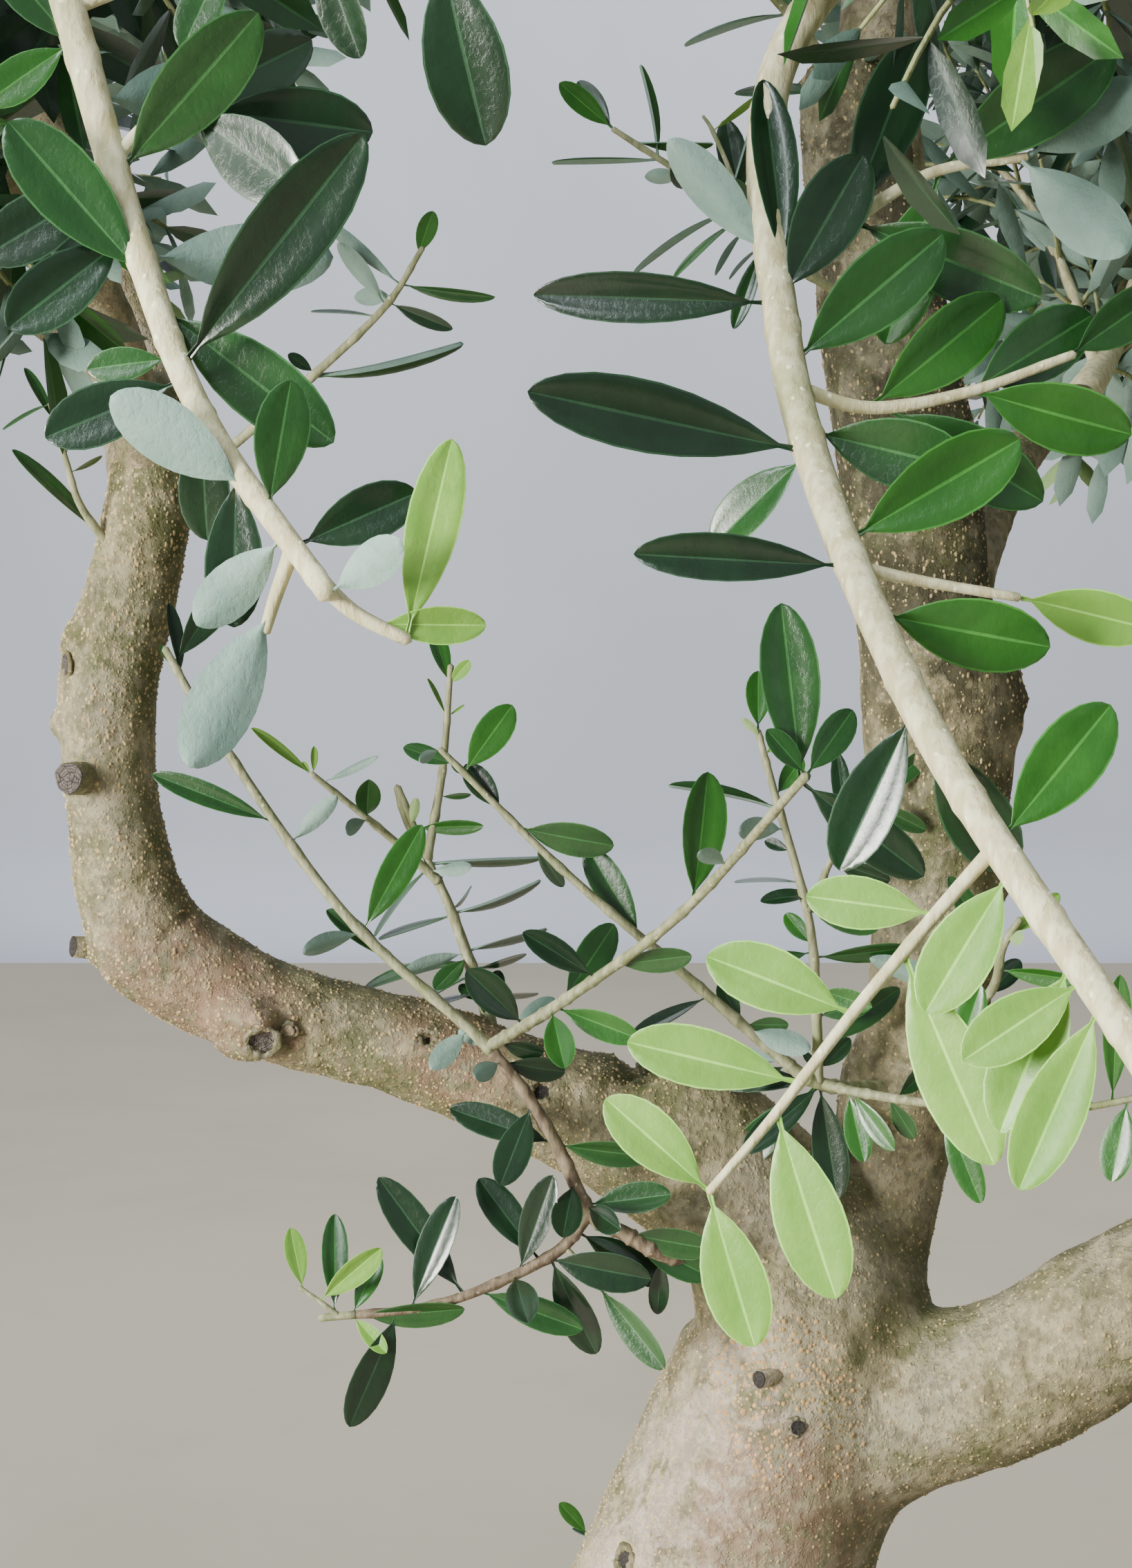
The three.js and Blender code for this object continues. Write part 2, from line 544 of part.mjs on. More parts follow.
// A named mesh of a solid, in its own colour.
function meshOf(name, solid, kind) {
  const { vertProperties, triVerts } = solid.getMesh();
  const geometry = new THREE.BufferGeometry();
  geometry.setAttribute("position", new THREE.BufferAttribute(vertProperties, 3));
  geometry.setIndex(new THREE.BufferAttribute(new Uint32Array(triVerts), 1));
  geometry.computeVertexNormals();
  const [color, roughness] = COLOURS[kind];
  const mesh = new THREE.Mesh(geometry, new THREE.MeshStandardMaterial({ color, roughness, metalness: 0 }));
  mesh.name = name;
  return mesh;
}

const tree = new THREE.Group();
tree.name = "potted_olive_tree";

function buildWood() {
  const made = [];
  for (const [name, { kind }] of woods) {
    let solid = woodSolid(name);
    if (kind === "trunk") solid = solid.subtract(groundSolid());
    for (const earlier of made) solid = solid.subtract(woodSolid(earlier, GAP));
    made.push(name);
    tree.add(meshOf(kind === "limb" ? `${name}_limb` : name, largest(solid), kind));
  }
}

function buildFoliage() {
  for (const name of woods.keys()) addObstacle(name, (t) => woodAt(name, t));
  for (const shoot of SHOOTS) {
    shoot.stems.forEach((_, k) => addObstacle(shoot.name, (t) => along(shootRows(shoot, k), t)));
  }
  for (const mass of CROWN) {
    const solid = foliageSolid(mass).subtract(woodSolid(mass.name, GAP));
    tree.add(meshOf(`${mass.name}_foliage`, largest(solid), "foliage"));
  }
  const shoots = [];
  for (const shoot of SHOOTS) {
    const solid = shootSolid(shoot, shoots).subtract(woodSolid(shoot.on, GAP));
    shoots.push(solid);
    tree.add(meshOf(shoot.name, largest(solid), "shoot"));
  }
}

tree.add(meshOf("pot", potSolid(), "pot"));
tree.add(meshOf("soil", soilSolid(), "soil"));
buildWood();
buildFoliage();

export default tree;
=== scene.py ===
import math

import bpy
import numpy as np
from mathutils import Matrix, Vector, kdtree, noise


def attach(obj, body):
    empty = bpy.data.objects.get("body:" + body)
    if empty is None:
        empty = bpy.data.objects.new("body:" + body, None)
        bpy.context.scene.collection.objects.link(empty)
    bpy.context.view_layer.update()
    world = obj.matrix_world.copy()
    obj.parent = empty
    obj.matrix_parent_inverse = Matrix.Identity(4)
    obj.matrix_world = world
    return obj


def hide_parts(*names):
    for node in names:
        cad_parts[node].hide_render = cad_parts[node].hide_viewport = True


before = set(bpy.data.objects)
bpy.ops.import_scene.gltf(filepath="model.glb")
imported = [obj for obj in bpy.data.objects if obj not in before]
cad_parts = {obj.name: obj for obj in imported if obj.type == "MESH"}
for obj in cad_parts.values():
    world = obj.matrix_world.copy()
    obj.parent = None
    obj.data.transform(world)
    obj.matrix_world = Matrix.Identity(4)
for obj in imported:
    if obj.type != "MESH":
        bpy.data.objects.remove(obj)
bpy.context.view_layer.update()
scene = bpy.context.scene
mm = 0.001  # lengths below are in millimetres, meshes in metres

print("camera, floor and lights")
photoView = dict(lens=67.5, sensor=36, aim=(-64, 0, 1202), distance=1250, pitch=6, size=(1638, 2268))


def makeCamera(view):
    pitch = math.radians(view["pitch"])
    data = bpy.data.cameras.new("photoCamera")
    data.sensor_fit, data.sensor_height, data.lens = "VERTICAL", view["sensor"], view["lens"]
    data.clip_end = 100
    camera = bpy.data.objects.new("photoCamera", data)
    ahead = Vector((0, math.cos(pitch), -math.sin(pitch)))
    camera.location = (Vector(view["aim"]) - ahead * view["distance"]) * mm
    camera.rotation_euler = (math.pi / 2 - pitch, 0, 0)
    scene.collection.objects.link(camera)
    scene.camera = camera
    return np.array(camera.location) / mm, np.array(ahead)


cameraPoint, cameraAhead = makeCamera(photoView)
cameraUp = np.cross((1.0, 0, 0), cameraAhead)
pixelsPerSlope = photoView["lens"] / photoView["sensor"] * photoView["size"][1]


def inPhoto(points):  # where points fall in the photograph, in its pixels
    away = points - cameraPoint
    depth = away @ cameraAhead
    across = photoView["size"][0] / 2 + pixelsPerSlope * away[:, 0] / depth
    down = photoView["size"][1] / 2 - pixelsPerSlope * (away @ cameraUp) / depth
    return across, down


def rayThrough(x, y):  # direction of the ray through a pixel, one long in depth
    right = (x - photoView["size"][0] / 2) / pixelsPerSlope
    up = (photoView["size"][1] / 2 - y) / pixelsPerSlope
    return cameraAhead + np.array([right, 0, 0]) + up * cameraUp


# lines and random numbers, as in the growth rule of the CAD source

def seeded(seed):
    state = [int(seed) & 0xffffffff]

    def draw():
        state[0] = (state[0] * 1664525 + 1013904223) & 0xffffffff
        return state[0] / 4294967296
    return draw


def rowsOf(points):
    return np.array(points, dtype=float)


def table(columns, rows):  # rows of values under named columns, the last of which may be left out
    return [dict(zip(columns.split(), row)) for row in rows]


def turnsOf(sides):
    return np.arange(sides) * 2 * math.pi / sides


def along(rows, t):  # shares of a smooth line through rows of numbers
    spans, t = len(rows) - 1, np.asarray(t)
    i = np.minimum((t * spans).astype(int), spans - 1)
    w, start, end = (t * spans - i)[..., None], (i == 0)[..., None], (i + 1 == spans)[..., None]
    here, ahead = rows[i], rows[i + 1]
    before = np.where(start, 2 * here - ahead, rows[i - 1])
    after = np.where(end, 2 * ahead - here, rows[np.minimum(i + 2, spans)])
    rise, fall = (ahead - before) / 2, (after - here) / 2
    bow = 3 * (ahead - here) - 2 * rise - fall
    twist = 2 * (here - ahead) + rise + fall
    return here + rise * w + bow * w ** 2 + twist * w ** 3


def evenly(rows, count):
    return along(rows, np.linspace(0, 1, count))


def unit(v):
    return v / max(np.linalg.norm(v), 1e-12)


def squared(v, way):  # the part of v square to a direction, one long
    return unit(v - way * way.dot(v))


def swung(a, b, angle):  # from a towards b by an angle
    return a * math.cos(angle) + b * math.sin(angle)


def apart(points, place):
    return np.linalg.norm(points - place, axis=-1)


def heading(rows, t, step=0.005):
    return unit(along(rows, min(1, t + step))[:3] - along(rows, max(0, t - step))[:3])


def framesOf(rows, shares):  # centre, forward, side and across, turned as little as possible
    frames, side = [], None
    for t in shares:
        forward = heading(rows, t)
        if side is None:
            side = rowsOf([0, 1, 0] if abs(forward[1]) < 0.9 else [1, 0, 0])
        side = squared(side, forward)
        frames.append((along(rows, t), forward, side, np.cross(forward, side)))
    return frames


def lengthOf(rows, steps=24):
    return np.linalg.norm(np.diff(evenly(rows, steps + 1)[:, :3], axis=0), axis=1).sum()


def curveRows(start, bend, end, steps, rootRadius, tipRadius):
    t = np.linspace(0, 1, steps + 1)[:, None]
    points = start * (1 - t) ** 2 + bend * 2 * t * (1 - t) + end * t ** 2
    return np.hstack([points, rootRadius + (tipRadius - rootRadius) * t])


# meshes from arrays

def meshObject(name, verts, faces, materials, kinds=None, smooth=True, rideOn="root"):
    mesh = bpy.data.meshes.new(name)
    corners = [corner for block in faces for corner in block.tolist()]
    mesh.from_pydata(np.asarray(verts, dtype=np.float32) * mm, [], corners, shade_flat=False)
    for material in materials:
        mesh.materials.append(material)
    if kinds is not None:
        mesh.polygons.foreach_set("material_index", np.asarray(kinds, dtype=np.int32))
    if smooth:
        mesh.shade_smooth()
    piece = bpy.data.objects.new(name, mesh)
    scene.collection.objects.link(piece)
    if rideOn:
        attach(piece, rideOn)
    return piece


def ringFaces(sides, rings, flip=False):  # walls between rings of points, and fans to two end points
    i, end = np.arange(sides), rings * sides
    j, last = (i + 1) % sides, end - sides
    band = np.stack([i, j, j + sides, i + sides], axis=1)
    quads = np.concatenate([band + start for start in range(0, last, sides)])
    tris = np.concatenate([np.stack([j, i, np.full(sides, end)], axis=1),
                           np.stack([i + last, j + last, np.full(sides, end + 1)], axis=1)])
    return (quads[:, ::-1], tris[:, ::-1]) if flip else (quads, tris)


def tubeArrays(rows, sides, shares, shape=None, dome=0.0):
    frames, angles = framesOf(rows, shares), turnsOf(sides)
    rings = []
    for centre, forward, side, across in frames:
        radius = centre[3] * (shape(angles, centre[2]) if shape else np.ones(sides))
        ring = np.outer(radius * np.cos(angles), side) + np.outer(radius * np.sin(angles), across)
        rings.append(centre[:3] + ring)
    ends = [frames[0][0][:3], frames[-1][0][:3] + frames[-1][1] * frames[-1][0][3] * dome]
    return (np.vstack(rings + [np.array(ends)]), *ringFaces(sides, len(rings)))


def addTube(heap, rows, sides, shares, kind=0, **options):
    shares = np.linspace(0, 1, shares) if isinstance(shares, int) else shares
    heap.append((tubeArrays(rows, sides, shares, **options), kind))


def heapObject(heap, name, materials, **options):  # many small meshes as one
    starts = np.cumsum([0] + [len(arrays[0]) for arrays, _ in heap])
    faces = [np.concatenate([arrays[k] + start for (arrays, _), start in zip(heap, starts)]) for k in (1, 2)]
    kinds = [np.broadcast_to(kind, len(arrays[1])) for arrays, kind in heap]
    kinds += [np.full(len(arrays[2]), np.ravel(kind)[0]) for arrays, kind in heap]
    verts = np.concatenate([arrays[0] for arrays, _ in heap])
    return meshObject(name, verts, faces, materials, np.concatenate(kinds), **options)


# shader helpers

def tint(red, green, blue):  # a colour as it looks on a screen, 0 to 255
    return *(((c / 255 + 0.055) / 1.055) ** 2.4 if c > 10 else c / 3294 for c in (red, green, blue)), 1


def addNode(tree, kind, inputs=None, **settings):
    node = tree.nodes.new("ShaderNode" + kind)
    for key, value in settings.items():
        setattr(node, key, value)
    for key, value in (inputs or {}).items():
        if isinstance(value, bpy.types.NodeSocket):
            tree.links.new(value, node.inputs[key])
        else:
            node.inputs[key].default_value = value
    return node


def mixColour(tree, factor, a, b):
    return addNode(tree, "Mix", {0: factor, 6: a, 7: b}, data_type="RGBA").outputs[2]


def maths(tree, operation, a, b=0.0):
    return addNode(tree, "Math", {0: a, 1: b}, operation=operation).outputs[0]


def times(tree, a, b):
    return maths(tree, "MULTIPLY", a, b)


def plus(tree, a, b):
    return maths(tree, "ADD", a, b)


def spread(tree, value, low, high):  # 0 at low and 1 at high, with soft ends
    return addNode(tree, "MapRange", {"Value": value, "From Min": low, "From Max": high},
                   interpolation_type="SMOOTHSTEP").outputs[0]


def cloudOf(tree, place, scale, detail, roughness=0.5, distortion=0.0):
    return addNode(tree, "TexNoise", {"Vector": place, "Scale": scale, "Detail": detail,
                                      "Roughness": roughness, "Distortion": distortion}).outputs


def vectors(tree, operation, a, b):
    return addNode(tree, "VectorMath", {0: a, 1: b}, operation=operation).outputs


def objectPlace(tree):
    return addNode(tree, "TexCoord").outputs["Object"]


def layered(tree, colour, *layers):  # each layer is a mask, its share and a colour
    for mask, share, over in layers:
        colour = mixColour(tree, times(tree, mask, share), colour, tint(*over))
    return colour


def newGroup(name, inputs, outputs):
    tree = bpy.data.node_groups.new(name, "ShaderNodeTree")
    for label, value in inputs.items():
        kind = "NodeSocketVector" if isinstance(value, tuple) else "NodeSocketFloat"
        tree.interface.new_socket(label, in_out="INPUT", socket_type=kind).default_value = value
    for label in outputs:
        tree.interface.new_socket(label, in_out="OUTPUT", socket_type="NodeSocketFloat")
    return tree, tree.nodes.new("NodeGroupInput").outputs, tree.nodes.new("NodeGroupOutput").inputs


def useGroup(tree, group, **values):
    node = tree.nodes.new("ShaderNodeGroup")
    node.node_tree = group
    for label, value in values.items():
        node.inputs[label].default_value = value
    return node.outputs


def newMaterial(name, **constants):
    material = bpy.data.materials.new(name)
    material.use_nodes = True
    tree = material.node_tree
    tree.nodes.clear()
    inputs = {key.replace("_", " "): value for key, value in constants.items()}
    shader = addNode(tree, "BsdfPrincipled", inputs)
    out = addNode(tree, "OutputMaterial")
    tree.links.new(shader.outputs[0], out.inputs[0])
    return material, tree


def finished(material, colour, height=None, strength=0.0, distance=0.0):
    tree, shader = material.node_tree, material.node_tree.nodes["Principled BSDF"]
    tree.links.new(colour, shader.inputs["Base Color"])
    if height is not None:
        bump = addNode(tree, "Bump", {"Strength": strength, "Distance": distance * mm, "Height": height})
        tree.links.new(bump.outputs[0], shader.inputs["Normal"])
    return material


# effects that several finishes share

def makePatches():  # soft irregular patches: damp, bloom, moss, age
    tree, given, out = newGroup("patches", dict(Size=0.05, Low=0.45, High=0.6, Seed=(0, 0, 0)), ["Mask"])
    moved = vectors(tree, "ADD", objectPlace(tree), given["Seed"])[0]
    cloud = cloudOf(tree, moved, maths(tree, "DIVIDE", 1.0, given["Size"]), 5.0, 0.62, 0.4)[0]
    tree.links.new(spread(tree, cloud, given["Low"], given["High"]), out["Mask"])
    return tree


def makeGrain():  # fine uneven grain, drawn out along the object's height
    tree, given, out = newGroup("grain", dict(Size=0.004, Stretch=2.0), ["Tone", "Height"])
    squeeze = maths(tree, "DIVIDE", 1.0, given["Stretch"])
    scale = addNode(tree, "CombineXYZ", {"X": 1.0, "Y": 1.0, "Z": squeeze}).outputs[0]
    drawn = vectors(tree, "MULTIPLY", objectPlace(tree), scale)[0]
    rate = maths(tree, "DIVIDE", 1.0, given["Size"])
    coarse = cloudOf(tree, drawn, rate, 6.0, 0.6)[0]
    fine = cloudOf(tree, drawn, times(tree, rate, 4.3), 4.0, 0.7)[0]
    tree.links.new(coarse, out["Tone"])
    tree.links.new(plus(tree, spread(tree, coarse, 0.36, 0.56), times(tree, fine, 0.6)), out["Height"])
    return tree


def makeDots():  # scattered raised dots, each cell of a net holding one or none
    tree, given, out = newGroup("dots", dict(Size=0.006, Cover=0.5, Radius=0.3), ["Mask", "Height"])
    place, rate = objectPlace(tree), maths(tree, "DIVIDE", 1.0, given["Size"])
    wander = cloudOf(tree, place, 220.0, 2.0)[1]
    shift = addNode(tree, "VectorMath", {0: wander, "Scale": 0.0022}, operation="SCALE").outputs[0]
    moved = vectors(tree, "ADD", place, shift)[0]
    net = addNode(tree, "TexVoronoi", {"Vector": moved, "Scale": rate, "Randomness": 1.0}).outputs
    draw = addNode(tree, "SeparateColor", {0: net["Color"]}).outputs[0]
    kept = maths(tree, "LESS_THAN", draw, given["Cover"])
    mask = times(tree, kept, spread(tree, net["Distance"], given["Radius"], 0.0))
    tree.links.new(spread(tree, mask, 0.1, 0.5), out["Mask"])
    tree.links.new(mask, out["Height"])
    return tree


def makeNearby():  # 1 round a place on the object, fading to 0 at its reach, with a ragged edge
    tree, given, out = newGroup("nearby", dict(Centre=(0, 0, 0), Reach=0.05), ["Mask"])
    place = objectPlace(tree)
    away = vectors(tree, "DISTANCE", place, given["Centre"])["Value"]
    ragged = maths(tree, "SUBTRACT", cloudOf(tree, place, 60.0, 4.0)[0], 0.5)
    edge = plus(tree, maths(tree, "DIVIDE", away, given["Reach"]), times(tree, ragged, 0.9))
    tree.links.new(spread(tree, edge, 1.0, 0.35), out["Mask"])
    return tree


patches, grain, dots, nearby = makePatches(), makeGrain(), makeDots(), makeNearby()


def patchMask(tree, size, low, high, seed):
    return useGroup(tree, patches, Size=size * mm, Low=low, High=high, Seed=(seed, 0, 0))["Mask"]


# plain floor, plain backdrop and soft light

stageLook = dict(floor=(170, 161, 142), wall=(192, 196, 206), farEdge=7055, cove=320, coveSteps=14,
                 halfWidth=40000, nearEdge=-12000, wallHeight=14000)
lights = table("name place aim size power colour", [  # sizes in metres, power in watts
    ("key", (-3.2, -2.5, 1.6), (0, 0, 1.2), 1.6, 340, (1, 0.97, 0.92)),
    ("window", (-2.0, -2.6, 3.8), (0, 0, 1.2), 1.7, 120, (0.88, 0.95, 1)),
    ("fill", (3.2, -2.2, 2.0), (0, 0, 1.1), 3.0, 12, (0.9, 0.95, 1)),
    ("top", (-1.4, 0.6, 4.2), (0, 0, 1.4), 3.0, 70, (0.92, 0.96, 1)),
    ("wash", (0, 3.2, 4.5), (0, 7.0, 1.2), 4.0, 270, (0.94, 0.97, 1)),
])
worldLook = dict(colour=(0.86, 0.9, 0.96), strength=0.36)


def plainFinish(name, colour, size, roughness):
    material, tree = newMaterial(name, Roughness=roughness)
    cloud = patchMask(tree, size, 0.35, 0.7, 3.1)
    soft = layered(tree, tint(*colour), (cloud, 1, [c * 0.95 for c in colour]))
    return finished(material, soft)


def makeStage(look):  # the backdrop rises from the floor in a soft bend
    wide, near, bend = look["halfWidth"], look["nearEdge"], look["cove"]
    start = look["farEdge"] - bend
    turns = np.linspace(0, math.pi / 2, look["coveSteps"])
    line = [(start + bend * math.sin(a), bend - bend * math.cos(a)) for a in turns]
    line.append((look["farEdge"], look["wallHeight"]))
    verts = [(x, y, z) for y, z in line for x in (-wide, wide)]
    strips = [(2 * k, 2 * k + 1, 2 * k + 3, 2 * k + 2) for k in range(len(line) - 1)]
    ground = [(-wide, near, 0), (wide, near, 0), (wide, start, 0), (-wide, start, 0)]
    floor = meshObject("floor", ground, [np.array([[0, 1, 2, 3]])],
                       [plainFinish("floorFinish", look["floor"], 900, 0.7)], rideOn=None)
    wall = meshObject("backdrop", verts, [np.array(strips)],
                      [plainFinish("wallFinish", look["wall"], 2500, 0.85)], rideOn=None)


def makeLights(rows, world):
    for row in rows:
        data = bpy.data.lights.new(row["name"], "AREA")
        data.shape, data.size, data.energy, data.color = "DISK", row["size"], row["power"], row["colour"]
        lamp = bpy.data.objects.new(row["name"], data)
        lamp.location = row["place"]
        lamp.rotation_euler = (Vector(row["aim"]) - lamp.location).to_track_quat("-Z", "Y").to_euler()
        scene.collection.objects.link(lamp)
    scene.world = bpy.data.worlds.new("softRoom")
    scene.world.use_nodes = True
    background = scene.world.node_tree.nodes["Background"]
    background.inputs[0].default_value = (*world["colour"], 1)
    background.inputs[1].default_value = world["strength"]


makeStage(stageLook)
makeLights(lights, worldLook)

print("trunk and boughs")
soilTop = 405.0
wood = dict(voxel=2.95, trunkSides=72, boughSides=40, fillet=9.0, sink=8.0, start=0.035,
            sideGap=0.35, fillFrom=0.8, softCrotch=0.8, softReach=3, softLeast=0.15, softRounds=7,
            footReach=160)
# waves of the bark: height, size, how much they are drawn out upwards, and seed
barkWaves = [(1.65, 46, 1, 1), (0.88, 13, 0.55, 2), (0.385, 5.0, 0.5, 3)]
footWaves = [(3.2, 16, 0.22, 4)]
# the leader's ragged break: teeth and fine teeth, each by height and size
tornTop = dict(reach=0.9, height=9, size=7, fine=3, fineSize=3.4, deepest=-0.3)
woodLines = {  # stations along each line: x, y, z, radius
    "trunk": rowsOf([
        (6, 0, soilTop - 40, 108), (-10, 2, soilTop + 40, 80), (-34, 5, soilTop + 155, 67),
        (-40, 5, soilTop + 255, 63), (-26, 3, soilTop + 360, 61.5), (7, 0, 857, 60.5), (30, -2, 928, 56),
        (38, -2, 968, 50), (22, -2, 1012, 39), (-4, -2, 1050, 30), (-26, -2, 1079, 23)]),
    "leftBough": rowsOf([
        (-8, -2, 1030, 27), (-50, -2, 1055, 25.5), (-122, 2, 1085, 21.5), (-172, 3, 1098, 21),
        (-211, 3, 1113, 22.5), (-239, 2, 1133, 24), (-251, 0, 1160, 21.5), (-257, -3, 1205, 19),
        (-256, -5, 1248, 21), (-248, -4, 1284, 19.5), (-238, -1, 1330, 18.5), (-233, 3, 1368, 17)]),
    "uprightBough": rowsOf([
        (62, 16, 950, 20), (76, 24, 1010, 23), (83, 20, 1062, 27.5), (92, 14, 1098, 26.5),
        (95, 5, 1170, 28.5), (94, 2, 1238, 32.5), (86, 0, 1282, 28.5), (80, 0, 1338, 29.5),
        (69, 1, 1396, 27.5), (58, 4, 1474, 24), (55, 6, 1500, 21)]),
    "rightBough": rowsOf([
        (30, -4, 925, 36), (74, -10, 931, 37), (128, -28, 953, 33.5), (166, -38, 980, 33),
        (212, -50, 1012, 31.5), (262, -54, 1062, 29.5), (304, -46, 1122, 27.5), (334, -28, 1190, 25),
        (350, -10, 1255, 23), (352, 4, 1318, 20.5)]),
}
leftBend, rightBend = 5 / 11, 5 / 9
woodSpans = {  # the stretch of a line that each CAD node holds
    "trunk": ("trunk", 0, 1), "upright_bough": ("uprightBough", 0, 1),
    "left_bough_lower": ("leftBough", 0, leftBend), "left_bough_upper": ("leftBough", leftBend, 1),
    "right_bough_lower": ("rightBough", 0, rightBend), "right_bough_upper": ("rightBough", rightBend, 1),
}
boughNodes = list(woodSpans)
buttress = dict(lobes=5, depth=0.15, turn=0.7, height=95, flutes=3, fluteDepth=0.035, fluteTwist=1 / 90)
# sawn or broken stubs; the lip is the swollen bark round the cut
stubs = table("on at toward radius length lip", [
    ("left_bough_lower", 0.72, (-0.2, -0.95, -0.3), 11, 6, 1.3),
    ("left_bough_lower", 0.97, (-0.98, -0.1, 0.12), 6, 9, 1.05),
    ("right_bough_lower", 0.58, (0.1, -0.2, 0.97), 7, 8, 1.1),
])
# low swellings of the bark: the wood and share, the way each faces, its reach and height
burls = table("on at toward reach height", [
    ("left_bough_lower", 0.66, (0.3, -0.95, 0.1), 9, 3.5),
    ("left_bough_lower", 0.3, (0.1, -0.8, 0.6), 8, 3.5),
    ("left_bough_lower", 0.97, (-0.8, -0.5, -0.3), 20, 3.0),
    ("left_bough_upper", 0.42, (-1, -0.2, 0), 6, 5.0),
    ("left_bough_upper", 0.58, (-0.97, -0.2, 0), 7, 2.5),
    ("left_bough_upper", 0.33, (-0.62, -0.78, 0.04), 20, 2.0),
    ("trunk", 0.73, (-0.2, -0.95, 0), 14, 2.5), ("trunk", 0.69, (0.25, -0.95, 0.1), 8, 3.0),
    ("trunk", 0.5, (-0.8, -0.55, 0), 38, 6.0), ("trunk", 0.3, (0.75, -0.6, 0), 44, 6.0),
    ("trunk", 0.38, (0.2, 0.9, 0), 40, 6.0), ("upright_bough", 0.5, (1, -0.1, 0), 20, 5.5),
    ("upright_bough", 0.38, (0.95, -0.2, 0.2), 9, 4.0), ("upright_bough", 0.97, (-0.5, -0.8, 0), 16, 3.5),
    ("right_bough_lower", 0.5, (-0.1, -0.5, 0.9), 20, 3.0),
    ("right_bough_upper", 0.4, (0.9, -0.4, 0), 16, 3.5),
])
burlForm = dict(fall=1.4, wrinkle=0.14, wrinkles=9)


def woodAt(name, share):
    line, start, end = woodSpans[name]
    return along(woodLines[line], start + (end - start) * share)


def woodHeading(name, share):
    line, start, end = woodSpans[name]
    return heading(woodLines[line], start + (end - start) * share)


def trunkShape(angles, z):  # buttresses at the foot that fade upwards, shallow flutes above
    fade = min(1.0, math.exp(-(z - soilTop - wood["sideGap"]) / buttress["height"]))
    lobes = buttress["depth"] * np.cos(buttress["lobes"] * angles + buttress["turn"])
    flutes = buttress["fluteDepth"] * np.cos(buttress["flutes"] * angles + buttress["fluteTwist"] * z)
    return 1 + lobes * fade + flutes * (1 - fade)


def stubRows(stub):
    centre = woodAt(stub["on"], stub["at"])
    way, radius, lip = unit(rowsOf(stub["toward"])), stub["radius"], stub["lip"]
    reach = centre[3] + stub["length"]
    # distance from the middle of the wood, and share of the radius there
    shaft = [(0, 1.45), (centre[3] * 0.8, 1.4), (centre[3] + 1, 1.25), (reach - radius * 0.35, lip),
             (reach, lip * 0.9)]
    return rowsOf([(*(centre[:3] + way * d), radius * factor) for d, factor in shaft])


def lineDistances(points, name, steps=44):  # how far points lie outside a line's round surface
    stations = evenly(woodLines[name], steps + 1)
    best = np.full(len(points), 1e9)
    for a, b in zip(stations[:-1], stations[1:]):
        run = b[:3] - a[:3]
        t = np.clip((points - a[:3]) @ run / (run @ run), 0, 1)
        near = apart(points, a[:3] + t[:, None] * run)
        best = np.minimum(best, near - (a[3] + (b[3] - a[3]) * t))
    return best


def noiseAt(points, size, seed):
    shift = Vector((seed * 17.3, seed * 5.1, seed * 11.7))
    return np.array([noise.noise(Vector(p) / size + shift) for p in points])


def wavesAt(points, waves):
    return sum(height * noiseAt(points * (1, 1, squeeze), size, seed)
               for height, size, squeeze, seed in waves)


def applied(piece, kind, **settings):  # the piece with one modifier worked in
    modifier = piece.modifiers.new(kind.lower(), kind)
    for key, value in settings.items():
        setattr(modifier, key, value)
    graph = bpy.context.evaluated_depsgraph_get()
    mesh = bpy.data.meshes.new_from_object(piece.evaluated_get(graph))
    piece.modifiers.clear()
    old, piece.data = piece.data, mesh
    bpy.data.meshes.remove(old)
    return piece


def skinOver(heap, name, voxel):
    return applied(heapObject(heap, name, []), "REMESH", mode="VOXEL", voxel_size=voxel * mm)


def arrayOf(items, key, width=3, kind=np.float32):
    values = np.empty(len(items) * width, dtype=kind)
    items.foreach_get(key, values)
    return values.reshape(-1, width)


def vertsOf(mesh):
    return arrayOf(mesh.vertices, "co").astype(float) / mm


def normalsOf(mesh):
    return arrayOf(mesh.vertex_normals, "vector").astype(float)


def setVerts(mesh, verts):
    mesh.vertices.foreach_set("co", (verts * mm).astype(np.float32).ravel())
    mesh.update()


def edgesOf(mesh):
    return arrayOf(mesh.edges, "vertices", 2, np.int32)


def smoothed(verts, edges, weight, rounds):
    ends = np.concatenate([edges, edges[:, ::-1]])
    count = np.bincount(ends[:, 0], minlength=len(verts))[:, None]
    for _ in range(rounds):
        total = np.stack([np.bincount(ends[:, 0], weights=verts[ends[:, 1], k], minlength=len(verts))
                          for k in range(3)], axis=1)
        verts = verts + (total / count - verts) * weight
    return verts


